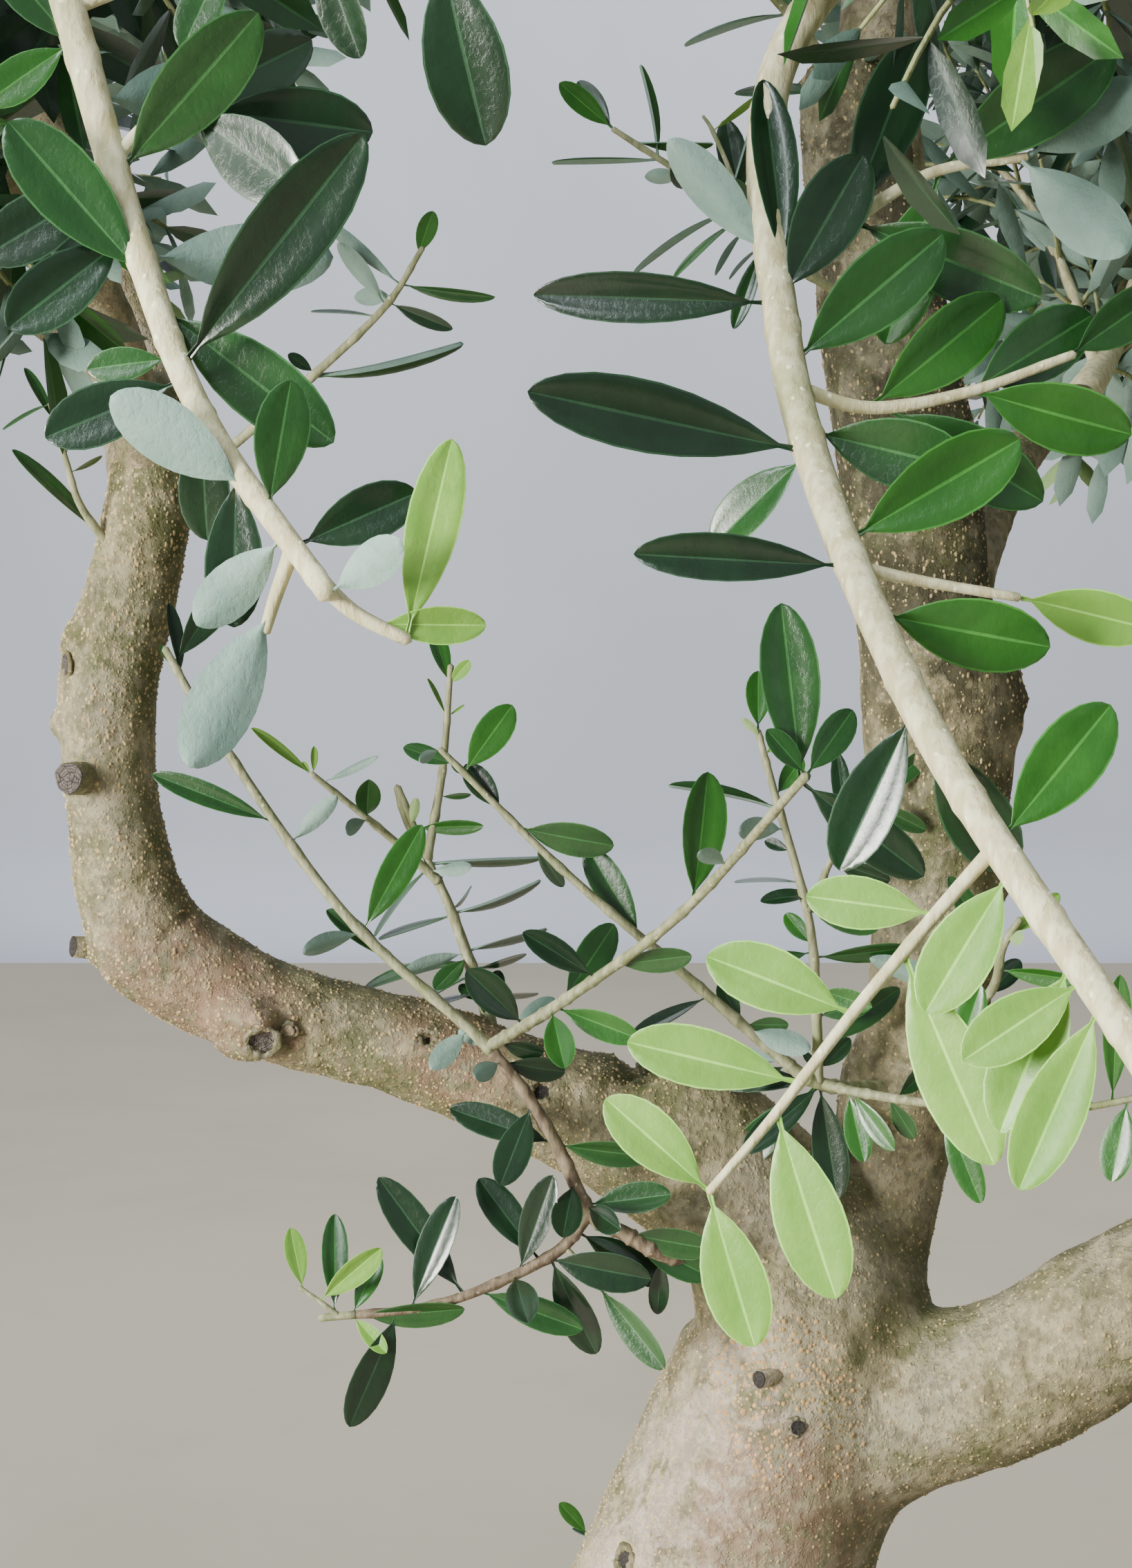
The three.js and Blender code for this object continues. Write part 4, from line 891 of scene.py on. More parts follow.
# pixels of the close-up; beyond is how much farther the tip lies than the root, in mm, and face is how far
# the upper side is turned from the viewer, in degrees
handLeaves = [
    ("lower", "front_shoot", [
        (958, 430, 648, 302, 112, 12, 15, dark), (915, 300, 820, 556, 122, -10, 0, dark),
        (1020, 402, 1330, 478, 88, -4, 30, mid), (1062, 556, 1030, 748, 132, -22, 0, dark),
        (868, 824, 1003, 520, 112, -6, -15, dark), (930, 782, 742, 540, 122, 12, 12, dark),
        (1118, 632, 1236, 712, 86, -22, 20, dark), (1138, 612, 1405, 590, 108, -4, -10, mid),
        (1258, 692, 1545, 788, 102, -8, 20, mid), (1262, 700, 1540, 872, 110, 8, 10, mid),
        (985, 812, 1328, 890, 134, -8, 10, dark), (1130, 752, 1380, 890, 112, 8, -20, dark),
        (1328, 880, 1356, 1006, 72, 6, 0, dark), (1008, 832, 1142, 1156, 124, 5, 10, dark),
        (1150, 900, 1390, 1182, 98, -6, 28, mid), (738, 916, 1100, 1056, 112, -4, 5, mid),
        (872, 882, 906, 1000, 118, -30, 0, dark), (690, 896, 398, 532, 134, 8, 5, dark),
        (515, 956, 646, 602, 118, -6, -18, dark), (325, 1012, 688, 1012, 84, -6, 38, mid),
        (478, 1030, 310, 1398, 128, -5, -20, dark), (315, 1022, 426, 1134, 62, -3, 0, young),
        (314, 1006, 402, 800, 76, 8, 0, fresh), (207, 938, 408, 768, 92, -8, 28, young),
        (253, 988, 250, 656, 92, 5, 8, mid), (143, 906, 98, 704, 76, 0, 10, young),
        (842, 112, 1045, 180, 86, 6, 20, dark)]),
    ("bend", "front_shoot", [
        (700, 424, 340, 246, 76, -6, 12, mid), (757, 436, 905, 322, 58, 5, 178, mid),
        (1285, 1062, 1190, 1158, 76, -6, 175, mid), (1415, 1118, 1334, 1178, 62, -18, 180, mid),
        (1345, 1098, 1282, 1040, 84, 6, 180, fresh)]),
    ("middle", "front_shoot", [
        (370, 1088, 578, 776, 114, -8, 0, fresh), (352, 1130, 164, 1182, 66, -14, 150, mid),
        (470, 1265, 258, 1056, 66, 8, 30, mid), (372, 1104, 468, 1212, 34, 10, 60, dark),
        (1148, 1270, 926, 1128, 92, -10, 10, dark), (1036, 1360, 1230, 1098, 122, 10, 12, mid),
        (922, 1440, 738, 1262, 132, -14, 0, dark), (882, 1470, 1020, 1340, 78, 8, 160, mid),
        (1240, 1270, 1480, 1196, 84, -6, 25, mid), (1030, 1420, 1056, 1585, 112, -18, 0, fresh),
        (1060, 1440, 1306, 1482, 96, -4, 12, fresh), (850, 1520, 985, 1540, 60, 4, 30, dark)]),
    ("whole", "front_shoot", [
        (1012, 985, 1000, 772, 76, -10, 5, mid), (880, 1146, 912, 988, 56, -6, 20, fresh),
        (940, 1112, 890, 1084, 36, -12, 160, mid), (1055, 985, 982, 930, 48, -4, 20, mid),
        (1025, 1000, 1180, 1120, 64, 0, 0, dark), (228, 862, 222, 768, 18, 0, 30, dark),
        (236, 838, 306, 722, 44, 6, 10, dark), (228, 858, 204, 822, 10, 0, 30, mid),
        (1030, 995, 1090, 905, 46, 4, 15, mid)]),
    ("middle", "left_bough_shoot", [
        (640, 1086, 438, 1166, 24, 0, 78, mid), (682, 1066, 986, 994, 24, 4, 80, mid),
        (672, 1058, 756, 984, 24, 12, 78, mid), (752, 1186, 990, 1098, 26, 4, 76, mid),
        (766, 1236, 932, 1216, 34, 6, 70, mid), (735, 1196, 514, 1252, 50, -10, 150, fresh),
        (735, 1200, 622, 1306, 78, -16, 30, mid), (722, 1226, 374, 1272, 44, 4, 65, mid),
        (702, 1338, 552, 1408, 26, 0, 78, dark), (640, 1300, 552, 1358, 24, 4, 78, mid),
        (560, 948, 396, 1122, 26, 4, 76, mid), (592, 934, 742, 904, 48, -6, 150, mid),
        (620, 890, 972, 856, 24, 6, 80, mid), (572, 772, 786, 764, 52, -6, 25, fresh),
        (545, 776, 556, 684, 34, -14, 170, young), (396, 744, 402, 640, 92, -22, 10, mid),
        (400, 752, 308, 792, 52, -16, 160, mid), (216, 616, 0, 452, 36, -8, 35, young),
        (260, 610, 440, 546, 30, -6, 150, fresh), (205, 600, 180, 556, 16, 0, 0, young),
        (214, 598, 222, 504, 26, 2, 20, young), (664, 300, 618, 100, 62, -4, 15, fresh),
        (682, 302, 736, 222, 56, -6, 0, young), (655, 406, 588, 284, 16, 0, 70, young),
        (668, 410, 720, 368, 10, 0, 0, young), (636, 672, 742, 672, 22, 0, 60, fresh),
        (850, 1305, 968, 1342, 32, 4, 70, dark), (730, 1440, 782, 1328, 70, -6, 20, fresh),
        (740, 1380, 700, 1300, 60, 6, 10, mid), (790, 1400, 842, 1250, 66, 8, 10, dark)]),
    ("middle", "fork_shoot", [
        (715, 582, 880, 372, 124, -4, 5, fresh), (846, 746, 722, 568, 92, 6, 10, dark),
        (886, 772, 1212, 852, 112, -6, 30, mid), (918, 862, 1046, 982, 54, 4, 25, dark),
        (1305, 1142, 1124, 842, 116, 2, -8, mid), (640, 602, 518, 514, 62, 6, 20, mid),
        (640, 524, 562, 556, 44, -6, 170, fresh), (662, 546, 712, 596, 46, 0, 0, dark)]),
    ("fork", "fork_shoot", [
        (985, 405, 1098, 58, 102, -12, 0, fresh), (985, 405, 1202, 380, 76, 0, 15, mid),
        (1260, 430, 1226, 304, 32, 0, 55, mid), (1490, 392, 1316, 438, 44, 4, 40, mid),
        (1495, 392, 1530, 10, 86, -16, 0, fresh), (1568, 452, 1500, 656, 104, -4, 10, fresh),
        (612, 360, 370, 576, 88, -10, 15, dark), (602, 356, 296, 644, 112, 0, 5, mid),
        (600, 364, 664, 706, 112, 6, 5, dark), (516, 294, 370, 370, 48, -4, 25, dark),
        (500, 282, 288, 268, 58, 8, 150, mid), (394, 176, 578, 244, 84, -10, 160, mid),
        (396, 160, 512, 172, 52, 0, 20, mid), (246, 100, 34, 216, 46, -2, 35, dark),
        (386, 156, 298, 48, 74, 4, 12, mid), (602, 358, 184, 320, 96, 14, 5, dark),
        (690, 386, 744, 596, 82, -6, 10, fresh), (702, 390, 832, 562, 64, -12, 20, fresh),
        (990, 420, 1098, 726, 92, -8, 10, fresh), (602, 312, 560, 258, 46, 0, 10, dark),
        (640, 318, 706, 218, 62, 4, 20, mid), (600, 152, 768, 104, 78, -4, 10, mid),
        (612, 240, 860, 66, 84, 4, 15, mid), (820, 400, 900, 520, 60, 4, 20, mid),
        (845, 402, 960, 300, 58, 8, 15, mid)]),
    ("upright", "fork_shoot", [
        (376, 488, 388, 264, 92, 4, 5, fresh), (372, 520, 332, 428, 30, -6, 150, young),
        (404, 572, 482, 508, 36, 0, 20, young), (432, 766, 84, 628, 30, 0, 72, mid),
        (458, 850, 300, 828, 86, -12, 165, mid), (470, 915, 408, 872, 62, 4, 10, dark),
        (476, 1036, 300, 996, 22, 4, 80, mid), (572, 1052, 396, 1070, 52, -4, 40, dark),
        (562, 1120, 806, 1192, 82, -6, 15, mid), (600, 1046, 722, 1000, 42, 4, 40, dark),
        (655, 950, 852, 1026, 72, 0, 20, dark), (604, 1276, 930, 1272, 64, -4, 35, mid),
        (548, 1276, 338, 1332, 62, 0, 30, mid), (556, 1240, 482, 1134, 92, 8, 10, fresh),
        (810, 716, 996, 560, 72, 0, 15, mid), (796, 740, 980, 846, 68, 0, 20, mid),
        (700, 850, 660, 560, 70, 4, 10, dark), (520, 700, 540, 580, 84, 6, 5, fresh),
        (585, 1400, 790, 1460, 78, -4, 10, fresh), (570, 1380, 420, 1300, 86, 4, 10, fresh)]),
    ("upright", "right_shoot", [
        (1190, 1282, 1052, 1000, 82, 0, 15, mid), (1240, 1206, 1336, 1214, 58, -14, 170, young),
        (1262, 1196, 1460, 1062, 72, 0, 10, young), (1182, 1420, 1310, 1298, 92, 8, 8, dark),
        (1218, 1328, 1519, 1362, 62, -10, 35, fresh), (1165, 1396, 784, 1300, 82, -8, 165, mid)]),
    ("fork", "right_shoot", [(1094, 214, 1310, 216, 82, 0, 8, dark)]),
    ("upper", "upper_shoot", [
        (410, 432, 110, 158, 134, -6, 10, fresh), (410, 424, 214, 124, 122, 10, 12, dark),
        (656, 602, 645, 34, 42, 4, 66, fresh), (640, 656, 74, 650, 18, 0, 82, mid),
        (525, 520, 988, 490, 56, 10, 60, fresh), (872, 788, 728, 588, 176, -34, 5, dark),
        (770, 768, 594, 690, 92, 10, 178, fresh), (1040, 900, 1216, 318, 52, -6, 60, mid),
        (1150, 860, 1064, 344, 172, 4, 8, dark), (1268, 1000, 1062, 690, 180, -14, 5, mid),
        (1010, 925, 498, 1156, 16, 0, 84, mid), (1064, 990, 748, 1242, 46, 0, 62, fresh),
        (1150, 1012, 982, 1242, 42, -4, 115, mid), (1236, 1112, 1056, 1242, 18, 0, 80, mid),
        (986, 428, 1236, 206, 40, 0, 55, young), (1200, 1170, 1102, 1542, 112, -8, 8, mid)]),
    ("inner", "left_inner_shoot", [
        (882, 440, 1012, 122, 176, -4, 5, fresh), (822, 666, 1424, 780, 92, -8, 35, mid),
        (700, 780, 1132, 972, 112, -4, 20, dark), (765, 632, 172, 186, 92, -8, 150, mid),
        (606, 722, 350, 328, 132, -10, 160, mid), (720, 702, 462, 734, 172, 8, 180, fresh),
        (600, 872, 148, 790, 30, 0, 78, mid), (200, 1342, 1246, 1210, 36, 4, 76, mid),
        (150, 1262, -20, 1140, 92, -4, 15, dark)]),
    ("whole", "left_side_shoot", [
        (130, 690, 22, 565, 20, -4, 40, mid), (88, 578, 128, 486, 30, -4, 165, fresh),
        (80, 606, 132, 585, 7, 0, 70, fresh), (64, 512, 0, 542, 6, 0, 75, mid),
        (72, 540, 30, 470, 14, 0, 30, mid)]),
    ("whole", "trunkSprig", [
        (748, 1960, 716, 1916, 26, 0, 25, fresh), (752, 1966, 730, 1950, 9, 4, 60, mid)]),
    ("whole", "left_front", [
        (352, 650, 372, 488, 84, -10, 5, mid), (372, 690, 532, 628, 78, 4, 5, dark),
        (520, 812, 578, 560, 70, -6, 5, young), (392, 790, 520, 690, 72, -12, 175, mid),
        (330, 770, 240, 980, 88, -6, 178, mid), (300, 640, 138, 508, 82, -6, 165, mid),
        (238, 470, 462, 180, 104, -22, 5, dark), (200, 350, 12, 160, 96, 0, 10, mid),
        (215, 380, 420, 560, 92, -8, 5, mid), (246, 486, 60, 560, 88, 0, 12, dark),
        (160, 230, 330, 20, 96, -16, 10, mid), (150, 220, -20, 330, 96, 4, 10, dark),
        (126, 130, 300, 110, 90, 22, 170, mid), (110, 60, 0, -60, 90, 0, 20, mid),
        (300, 590, 300, 800, 76, 4, 10, dark), (480, 790, 620, 800, 50, 0, 10, young),
        (350, 700, 250, 800, 80, 4, 175, mid), (560, -66, 616, 182, 112, 4, 5, dark),
        (400, -76, 462, 74, 56, 8, 25, dark), (262, 145, 474, 168, 96, 10, 5, dark),
        (240, 142, 396, 250, 92, -16, 10, dark), (200, 150, 392, 52, 84, 16, 8, dark),
        (170, 290, 10, 420, 96, -4, 8, dark), (185, 330, 420, 330, 92, 24, 172, mid),
        (225, 455, 110, 470, 74, 0, 15, mid), (100, 60, -20, 130, 84, 0, 10, fresh),
        (262, 520, 262, 690, 84, 4, 8, dark), (290, -60, 230, 60, 76, 0, 12, mid)]),
    ("whole", "crown_front", [
        (1366, 453, 1478, 372, 64, 8, 15, mid), (1308, 200, 1404, 142, 58, 10, 10, dark),
        (968, 384, 682, 374, 66, -4, 5, dark), (985, 592, 672, 502, 92, -4, 5, dark),
        (1050, 740, 808, 708, 62, 0, 10, dark), (990, 470, 1200, 300, 96, 0, 5, mid),
        (1000, 560, 1240, 600, 96, -6, 5, mid), (1062, 700, 1300, 560, 98, 0, 10, fresh),
        (1100, 790, 1340, 830, 96, -6, 10, fresh), (1150, 905, 1072, 1110, 80, 8, 10, dark),
        (1190, 930, 1290, 1120, 90, 8, 5, dark), (1290, 1070, 1420, 900, 92, -4, 10, fresh),
        (1310, 1100, 1180, 1290, 92, -6, 5, young), (1380, 1230, 1270, 1440, 92, -6, 10, young),
        (1400, 1290, 1300, 1520, 84, -8, 5, young), (1390, 1260, 1230, 1350, 84, -8, 5, young),
        (1010, 600, 900, 690, 60, 6, 30, mid), (975, 400, 1100, 200, 90, 0, 5, dark),
        (960, 330, 860, 180, 60, 6, 170, mid),
        (1000, 350, 984, 90, 58, 4, 20, dark), (1080, 290, 1180, 40, 84, 6, 10, dark),
        (1090, 285, 1330, 380, 92, -6, 5, mid), (1190, 222, 1420, 60, 100, -4, 5, mid),
        (1200, 220, 1130, 440, 84, 6, 10, fresh), (1300, 205, 1440, 330, 96, -10, 175, mid),
        (1310, 200, 1460, 110, 90, 4, 170, fresh), (1110, 518, 1290, 380, 88, 4, 10, fresh),
        (1130, 522, 1330, 640, 88, -6, 5, mid), (1240, 500, 1444, 560, 92, -4, 10, fresh),
        (1235, 498, 1400, 400, 88, 6, 5, mid), (1320, 760, 1470, 800, 70, 0, 10, young),
        (1195, 1165, 1030, 1140, 76, 0, 8, young), (1150, 1215, 1262, 1490, 96, -8, 10, young),
        (1090, 1290, 905, 1215, 84, 0, 8, young), (1020, 1380, 800, 1330, 78, 4, 12, young),
        (990, 1420, 1062, 1660, 92, -6, 10, young), (905, 1520, 776, 1400, 72, 0, 10, young),
        (905, 1520, 960, 1720, 84, -6, 8, young)]),
]


def pixelOf(view, x, y):
    (left, top), larger = closeUps[view]
    return left + x / larger, top + y / larger


def nearestStation(rows, pixel):  # the point of some stems that a ray of sight passes closest, and its depth
    away = rows[:, :3] - cameraPoint
    depth = away @ cameraAhead
    nearest = apart(away, depth[:, None] * rayThrough(*pixel)).argmin()
    return rows[nearest], depth[nearest]


def sideRows(name, stems):  # thin side stems at the depth of the stem that carries them
    lines = []
    for view, carrier, pixels, radii in sideStems:
        if carrier == name:
            start, *rest = [pixelOf(view, *pixel) for pixel in pixels]
            foot, depth = nearestStation(np.vstack([evenly(rows, 80) for rows in stems + lines]), start)
            points = [foot[:3]] + [cameraPoint + rayThrough(*pixel) * depth for pixel in rest]
            lines.append(np.column_stack([points, np.linspace(*radii, len(points))]))
    return lines


handHabit = dict(turnVary=10, edgeOn=0.2, narrowest=0.16, broadest=0.44)  # widths as shares of the length


def handPlaced(name, stems):  # leaves that spring from the nearest stem, each tip on its own pixel's ray
    stations, random, leaves = np.vstack([evenly(rows, 80) for rows in stems]), seeded(len(name) * 57), []
    for view, carrier, rows in handLeaves:
        for leaf in table(leafColumns, rows if carrier == name else ()):
            foot, depth = nearestStation(stations, pixelOf(view, leaf["rootX"], leaf["rootY"]))
            tipRay = rayThrough(*pixelOf(view, leaf["tipX"], leaf["tipY"]))
            tip = cameraPoint + tipRay * (depth + leaf["beyond"])
            way = unit(tip - foot[:3])
            root = foot[:3] + way * foot[3] * habit["rootOut"]
            length = apart(tip, root)
            toViewer = -unit(tipRay)
            up = squared(toViewer, way)
            turn = math.radians(leaf["face"] + handHabit["turnVary"] * (random() - 0.5))
            up = swung(up, np.cross(way, up), turn)
            seen = leaf["width"] / closeUps[view][1] * depth / pixelsPerSlope
            width = seen / max(abs(math.cos(turn)), handHabit["edgeOn"])
            width = min(max(width, length * handHabit["narrowest"]), length * handHabit["broadest"])
            leaves.append((*root, *way, *up, length, width, leaf["age"], int(random() * 5)))
    return leaves


def outOfView(leaves, margin=40):  # leaves of a twig beyond the photograph's edge
    across, down = inPhoto(leaves[:, :3])
    wide, high = photoView["size"]
    return (np.minimum(across, down) < -margin) | (across > wide + margin) | (down > high + margin)


def knotty(rows, spacing, step=1.6, swell=0.2, reach=2.2):  # a slight knuckle at each pair of leaves
    length = lengthOf(rows)
    stations = evenly(rows, max(6, int(length / step)))
    away = np.abs((np.linspace(0, length, len(stations)) + spacing / 2) % spacing - spacing / 2)
    stations[:, 3] *= 1 + swell * np.exp(-(away / reach) ** 2)
    return stations


def angledTwig(angles, z, depth=0.05, pitch=160):  # a twig is four-sided rather than round
    return 1 + depth * np.cos(4 * angles + z / pitch)


def growMass(k, mass, placed, twigs, leafRows):  # twigs and leaves give way to the leaves placed one by one
    stem = stemRows(mass)
    random = seeded(mass["seed"] * 7919)
    addTube(twigs, stem, 8, 12)
    grown, sprays = [], []
    for twig in twigRows(mass, stem):
        points = along(twig, (0.35, 0.7, 1))[:, :3]
        free = inSpace(k, points, growth["edge"], growth["lead"])
        if not (free & clearOfWood(points, mass["name"], growth["room"])).all():
            continue
        addTube(twigs, twig, 6, 9)
        for rows in spraysOn(twig, random, sprayShape):
            tone = random()
            tones = next(ages for limit, ages in sprayAges if tone < limit)
            ends = along(rows, (0.4, 0.8))[:, :3]
            if not (inSpace(k, ends) & clearOfWood(ends, mass["name"], 4) & openSky(ends)).all():
                continue
            leaves = leavesOn(rows, crownLeaf, random, tones)
            sprays.append((rows, len(grown), len(grown) + len(leaves)))
            grown += leaves
    leaves = np.array(grown)
    kept = farFrom(placed, overLeaf(leaves, midribSpots), growth["leafRoom"])
    for probe in overLeaf(leaves, endSpots).transpose(1, 0, 2):
        kept &= inSpace(k, probe) & clearOfWood(probe, mass["name"], crownLeaf["room"]) & openSky(probe)
    for rows, first, last in sprays:  # one that loses most leaves is left out, others end at their last leaf
        if kept[first:last].mean() < growth["leafy"]:
            kept[first:last] = False
        else:
            reach = min(1, (np.flatnonzero(kept[first:last])[-1] + 1) / (last - first) + 0.01)
            addTube(twigs, rows, 3, np.linspace(0, reach, 5), 1)
    leafRows.append(leaves[kept])


def growWeeping(mass):
    share, radii, points = weepingTwigs[mass["name"]]
    points = [along(stemRows(mass), share)[:3], *points]
    stems = [np.column_stack([points, np.linspace(*radii, len(points))])]
    stems += sideRows(mass["name"], stems)
    beyond = np.array(leavesOn(stems[0], weepingLeaf, seeded(mass["seed"] * 101), (0, 1), turn=0.4))
    return stems, np.concatenate([beyond[outOfView(beyond)], np.array(handPlaced(mass["name"], stems))])


# leaf forms: rings of points from the stalk to the tip, closed above and below

leafKinds = dict(top=0, under=1, rib=2)
fineSection = dict(  # across half widths, shares of the fold and of the thickness, and the next strip's kind
    across=(-1, -0.94, -0.5, -0.045, 0.045, 0.5, 0.94, 1, 0.5, 0, -0.5),
    fold=(1, 0.94, 0.46, 0.05, 0.05, 0.46, 0.94, 1, 0.42, 0, 0.42),
    thick=(0, 0.3, 0.3, -0.3, -0.3, 0.3, 0.3, 0, -1, -2, -1),
    kinds=("rib", "top", "top", "rib", "top", "top", "rib") + ("under",) * 4, rim=(0, 7))
plainSection = dict(
    across=(-1, -0.07, 0.07, 1, 0), fold=(1, 0, 0, 1, 0), thick=(0, 0, 0, 0, -1),
    kinds=("top", "rib", "top", "under", "under"), rim=(0, 3))
fineForm = dict(section=fineSection, stalk=0.08,
                stations=(0, 0.035, 0.08, 0.13, 0.2, 0.3, 0.42, 0.54, 0.66, 0.78, 0.88, 0.945, 0.98))
plainForm = dict(section=plainSection, stations=(0.02, 0.24, 0.52, 0.8), stalk=0.0)
leafBends = [(0.07, 0.12), (-0.06, 0.1), (-0.14, 0.16), (0.03, 0.2), (-0.1, 0.06)]  # curl and fold, by form
bladeShape = dict(widest=0.56, baseRound=1.9, basePower=0.85, tipRound=2.3, tipPower=0.62, stalkHalf=0.05)


def bladeWidth(t, stalk):  # half the width at a share of the length, as a share of the widest
    look = bladeShape
    s = (t - stalk) / (1 - stalk)
    if s <= 0:
        return look["stalkHalf"] * (1 - 0.3 * t / max(stalk, 0.01))
    if s < look["widest"]:
        half = 0.5 * (1 - (1 - s / look["widest"]) ** look["baseRound"]) ** look["basePower"]
    else:
        ahead = (s - look["widest"]) / (1 - look["widest"])
        half = 0.5 * (1 - ahead ** look["tipRound"]) ** look["tipPower"]
    return max(look["stalkHalf"], half)


def leafForm(form, curl, fold, thickness=0.011):
    section, stations = form["section"], form["stations"]
    across, bend, thick = (np.array(section[key]) for key in ("across", "fold", "thick"))
    t = np.array(stations)[:, None]
    half = np.array([bladeWidth(share, form["stalk"]) for share in stations])[:, None]
    height = curl * t * t * (1.6 - 0.6 * t) + fold * bend * half * 0.6 + thick * thickness
    verts = np.stack(np.broadcast_arrays(t, across * half, height), axis=-1).reshape(-1, 3)
    ring, rings = len(across), len(stations)
    quads, tris = ringFaces(ring, rings, flip=True)
    kinds = np.array([leafKinds[kind] for kind in section["kinds"]])
    rim = [k * ring + i for k in range(rings) for i in section["rim"]] + [rings * ring, rings * ring + 1]
    return dict(verts=np.vstack([verts, [(stations[0] - 0.004, 0, 0), (1.0, 0, curl)]]),
                quads=np.roll(quads, 1, axis=1), tris=tris, quadKinds=np.tile(kinds, rings - 1),
                triKinds=np.tile(kinds, 2), rim=np.array(rim))


def buildLeaves(name, leaves, form, materials):
    forms = [leafForm(form, curl, fold) for curl, fold in leafBends]
    shape = np.stack([f["verts"] for f in forms])[leaves[:, 12].astype(int)]
    root, way, up = leaves[:, None, :3], leaves[:, None, 3:6], leaves[:, None, 6:9]
    length, width = leaves[:, 9, None, None], leaves[:, 10, None, None]
    broad = np.cross(up, way)
    verts = root + length * (shape[..., :1] * way + shape[..., 2:] * up) + width * shape[..., 1:2] * broad
    count, size = len(leaves), shape.shape[1]
    offset = (np.arange(count) * size)[:, None, None]
    quads = (forms[0]["quads"][None] + offset).reshape(-1, 4)
    tris = (forms[0]["tris"][None] + offset).reshape(-1, 3)
    tone = leaves[:, 11].astype(int)[:, None]

    def materialsOf(kinds):  # 0 to 3 upper sides by age, 4 and 5 undersides, 6 to 9 midribs by age
        return np.where(kinds == 0, tone, np.where(kinds == 1, 4 + (tone == 3), 6 + tone)).ravel()
    kinds = np.concatenate([materialsOf(forms[0]["quadKinds"]), materialsOf(forms[0]["triKinds"])])
    piece = meshObject(name, verts.reshape(-1, 3), [quads, tris], materials, kinds)
    edges = edgesOf(piece.data) % size
    sharp = np.isin(edges, forms[0]["rim"]).all(axis=1)
    attribute = piece.data.attributes.new("sharp_edge", "BOOLEAN", "EDGE")
    attribute.data.foreach_set("value", sharp)
    return piece


print("leaf, twig and bark finishes")
leafTones = table("name deep light roughness coat", [  # upper side by age: shade, light part and gloss
    ("leafDark", (9, 34, 16), (24, 58, 28), 0.28, 0.8), ("leafMid", (18, 58, 20), (42, 90, 36), 0.3, 0.6),
    ("leafFresh", (24, 80, 16), (52, 112, 34), 0.34, 0.5),
    ("leafYoung", (98, 152, 48), (144, 190, 84), 0.42, 0.2),
])
underTones = table("name deep light roughness", [
    ("leafUnder", (108, 140, 126), (158, 186, 172), 0.58),
    ("leafUnderYoung", (134, 172, 104), (172, 202, 138), 0.56),
])
veins = dict(upper=0.22, under=0.4, rib=0.2)  # strength of the fine relief
twigTones = table("name pale dark moss", [
    ("twigBark", (234, 228, 188), (200, 190, 144), (182, 184, 130)),
    ("sprayStem", (196, 200, 146), (158, 166, 108), (134, 160, 92)),
    ("olderTwig", (150, 134, 108), (100, 84, 66), (112, 110, 76)),
    ("shootStem", (176, 176, 140), (132, 136, 98), (128, 138, 84)),
])
lenticelTones = table("name pale dark moss", [  # elsewhere, and round the scars on the trunk
    ("lenticel", (214, 192, 144), (176, 150, 104), (150, 142, 88)),
    ("warmLenticel", (222, 182, 126), (184, 144, 92), (150, 138, 84)),
])


def lifted(colour, factor, grey):  # lighter, and a little towards grey
    return tuple(min(255, c * factor + grey) for c in colour)


def makeLeafFinish(look, veins):
    material, tree = newMaterial(look["name"], Roughness=look["roughness"], Specular_IOR_Level=0.5,
                                 Coat_Weight=look.get("coat", 0.0), Coat_Roughness=0.18)
    tone = useGroup(tree, grain, Size=0.012, Stretch=1.0)["Tone"]
    share = plus(tree, times(tree, tone, 0.5), times(tree, patchMask(tree, 35, 0.35, 0.7, 1.7), 0.5))
    fine = useGroup(tree, grain, Size=0.0022, Stretch=1.3)
    colour = mixColour(tree, share, tint(*look["deep"]), tint(*look["light"]))
    return finished(material, colour, fine["Height"], veins, 0.25)


def makeTwigFinish(name, pale, dark, moss):
    material, tree = newMaterial(name, Roughness=0.68)
    streaks = useGroup(tree, grain, Size=0.0035, Stretch=3.5)
    speck = useGroup(tree, dots, Size=0.004, Cover=0.35, Radius=0.3)
    colour = layered(tree, tint(*dark), (spread(tree, streaks["Tone"], 0.35, 0.68), 1, pale),
                     (patchMask(tree, 45, 0.52, 0.72, 5.3), 1, moss),
                     (speck["Mask"], 1, lifted(pale, 1.12, 0)))
    return finished(material, colour, plus(tree, streaks["Height"], speck["Height"]), 0.5, 0.35)


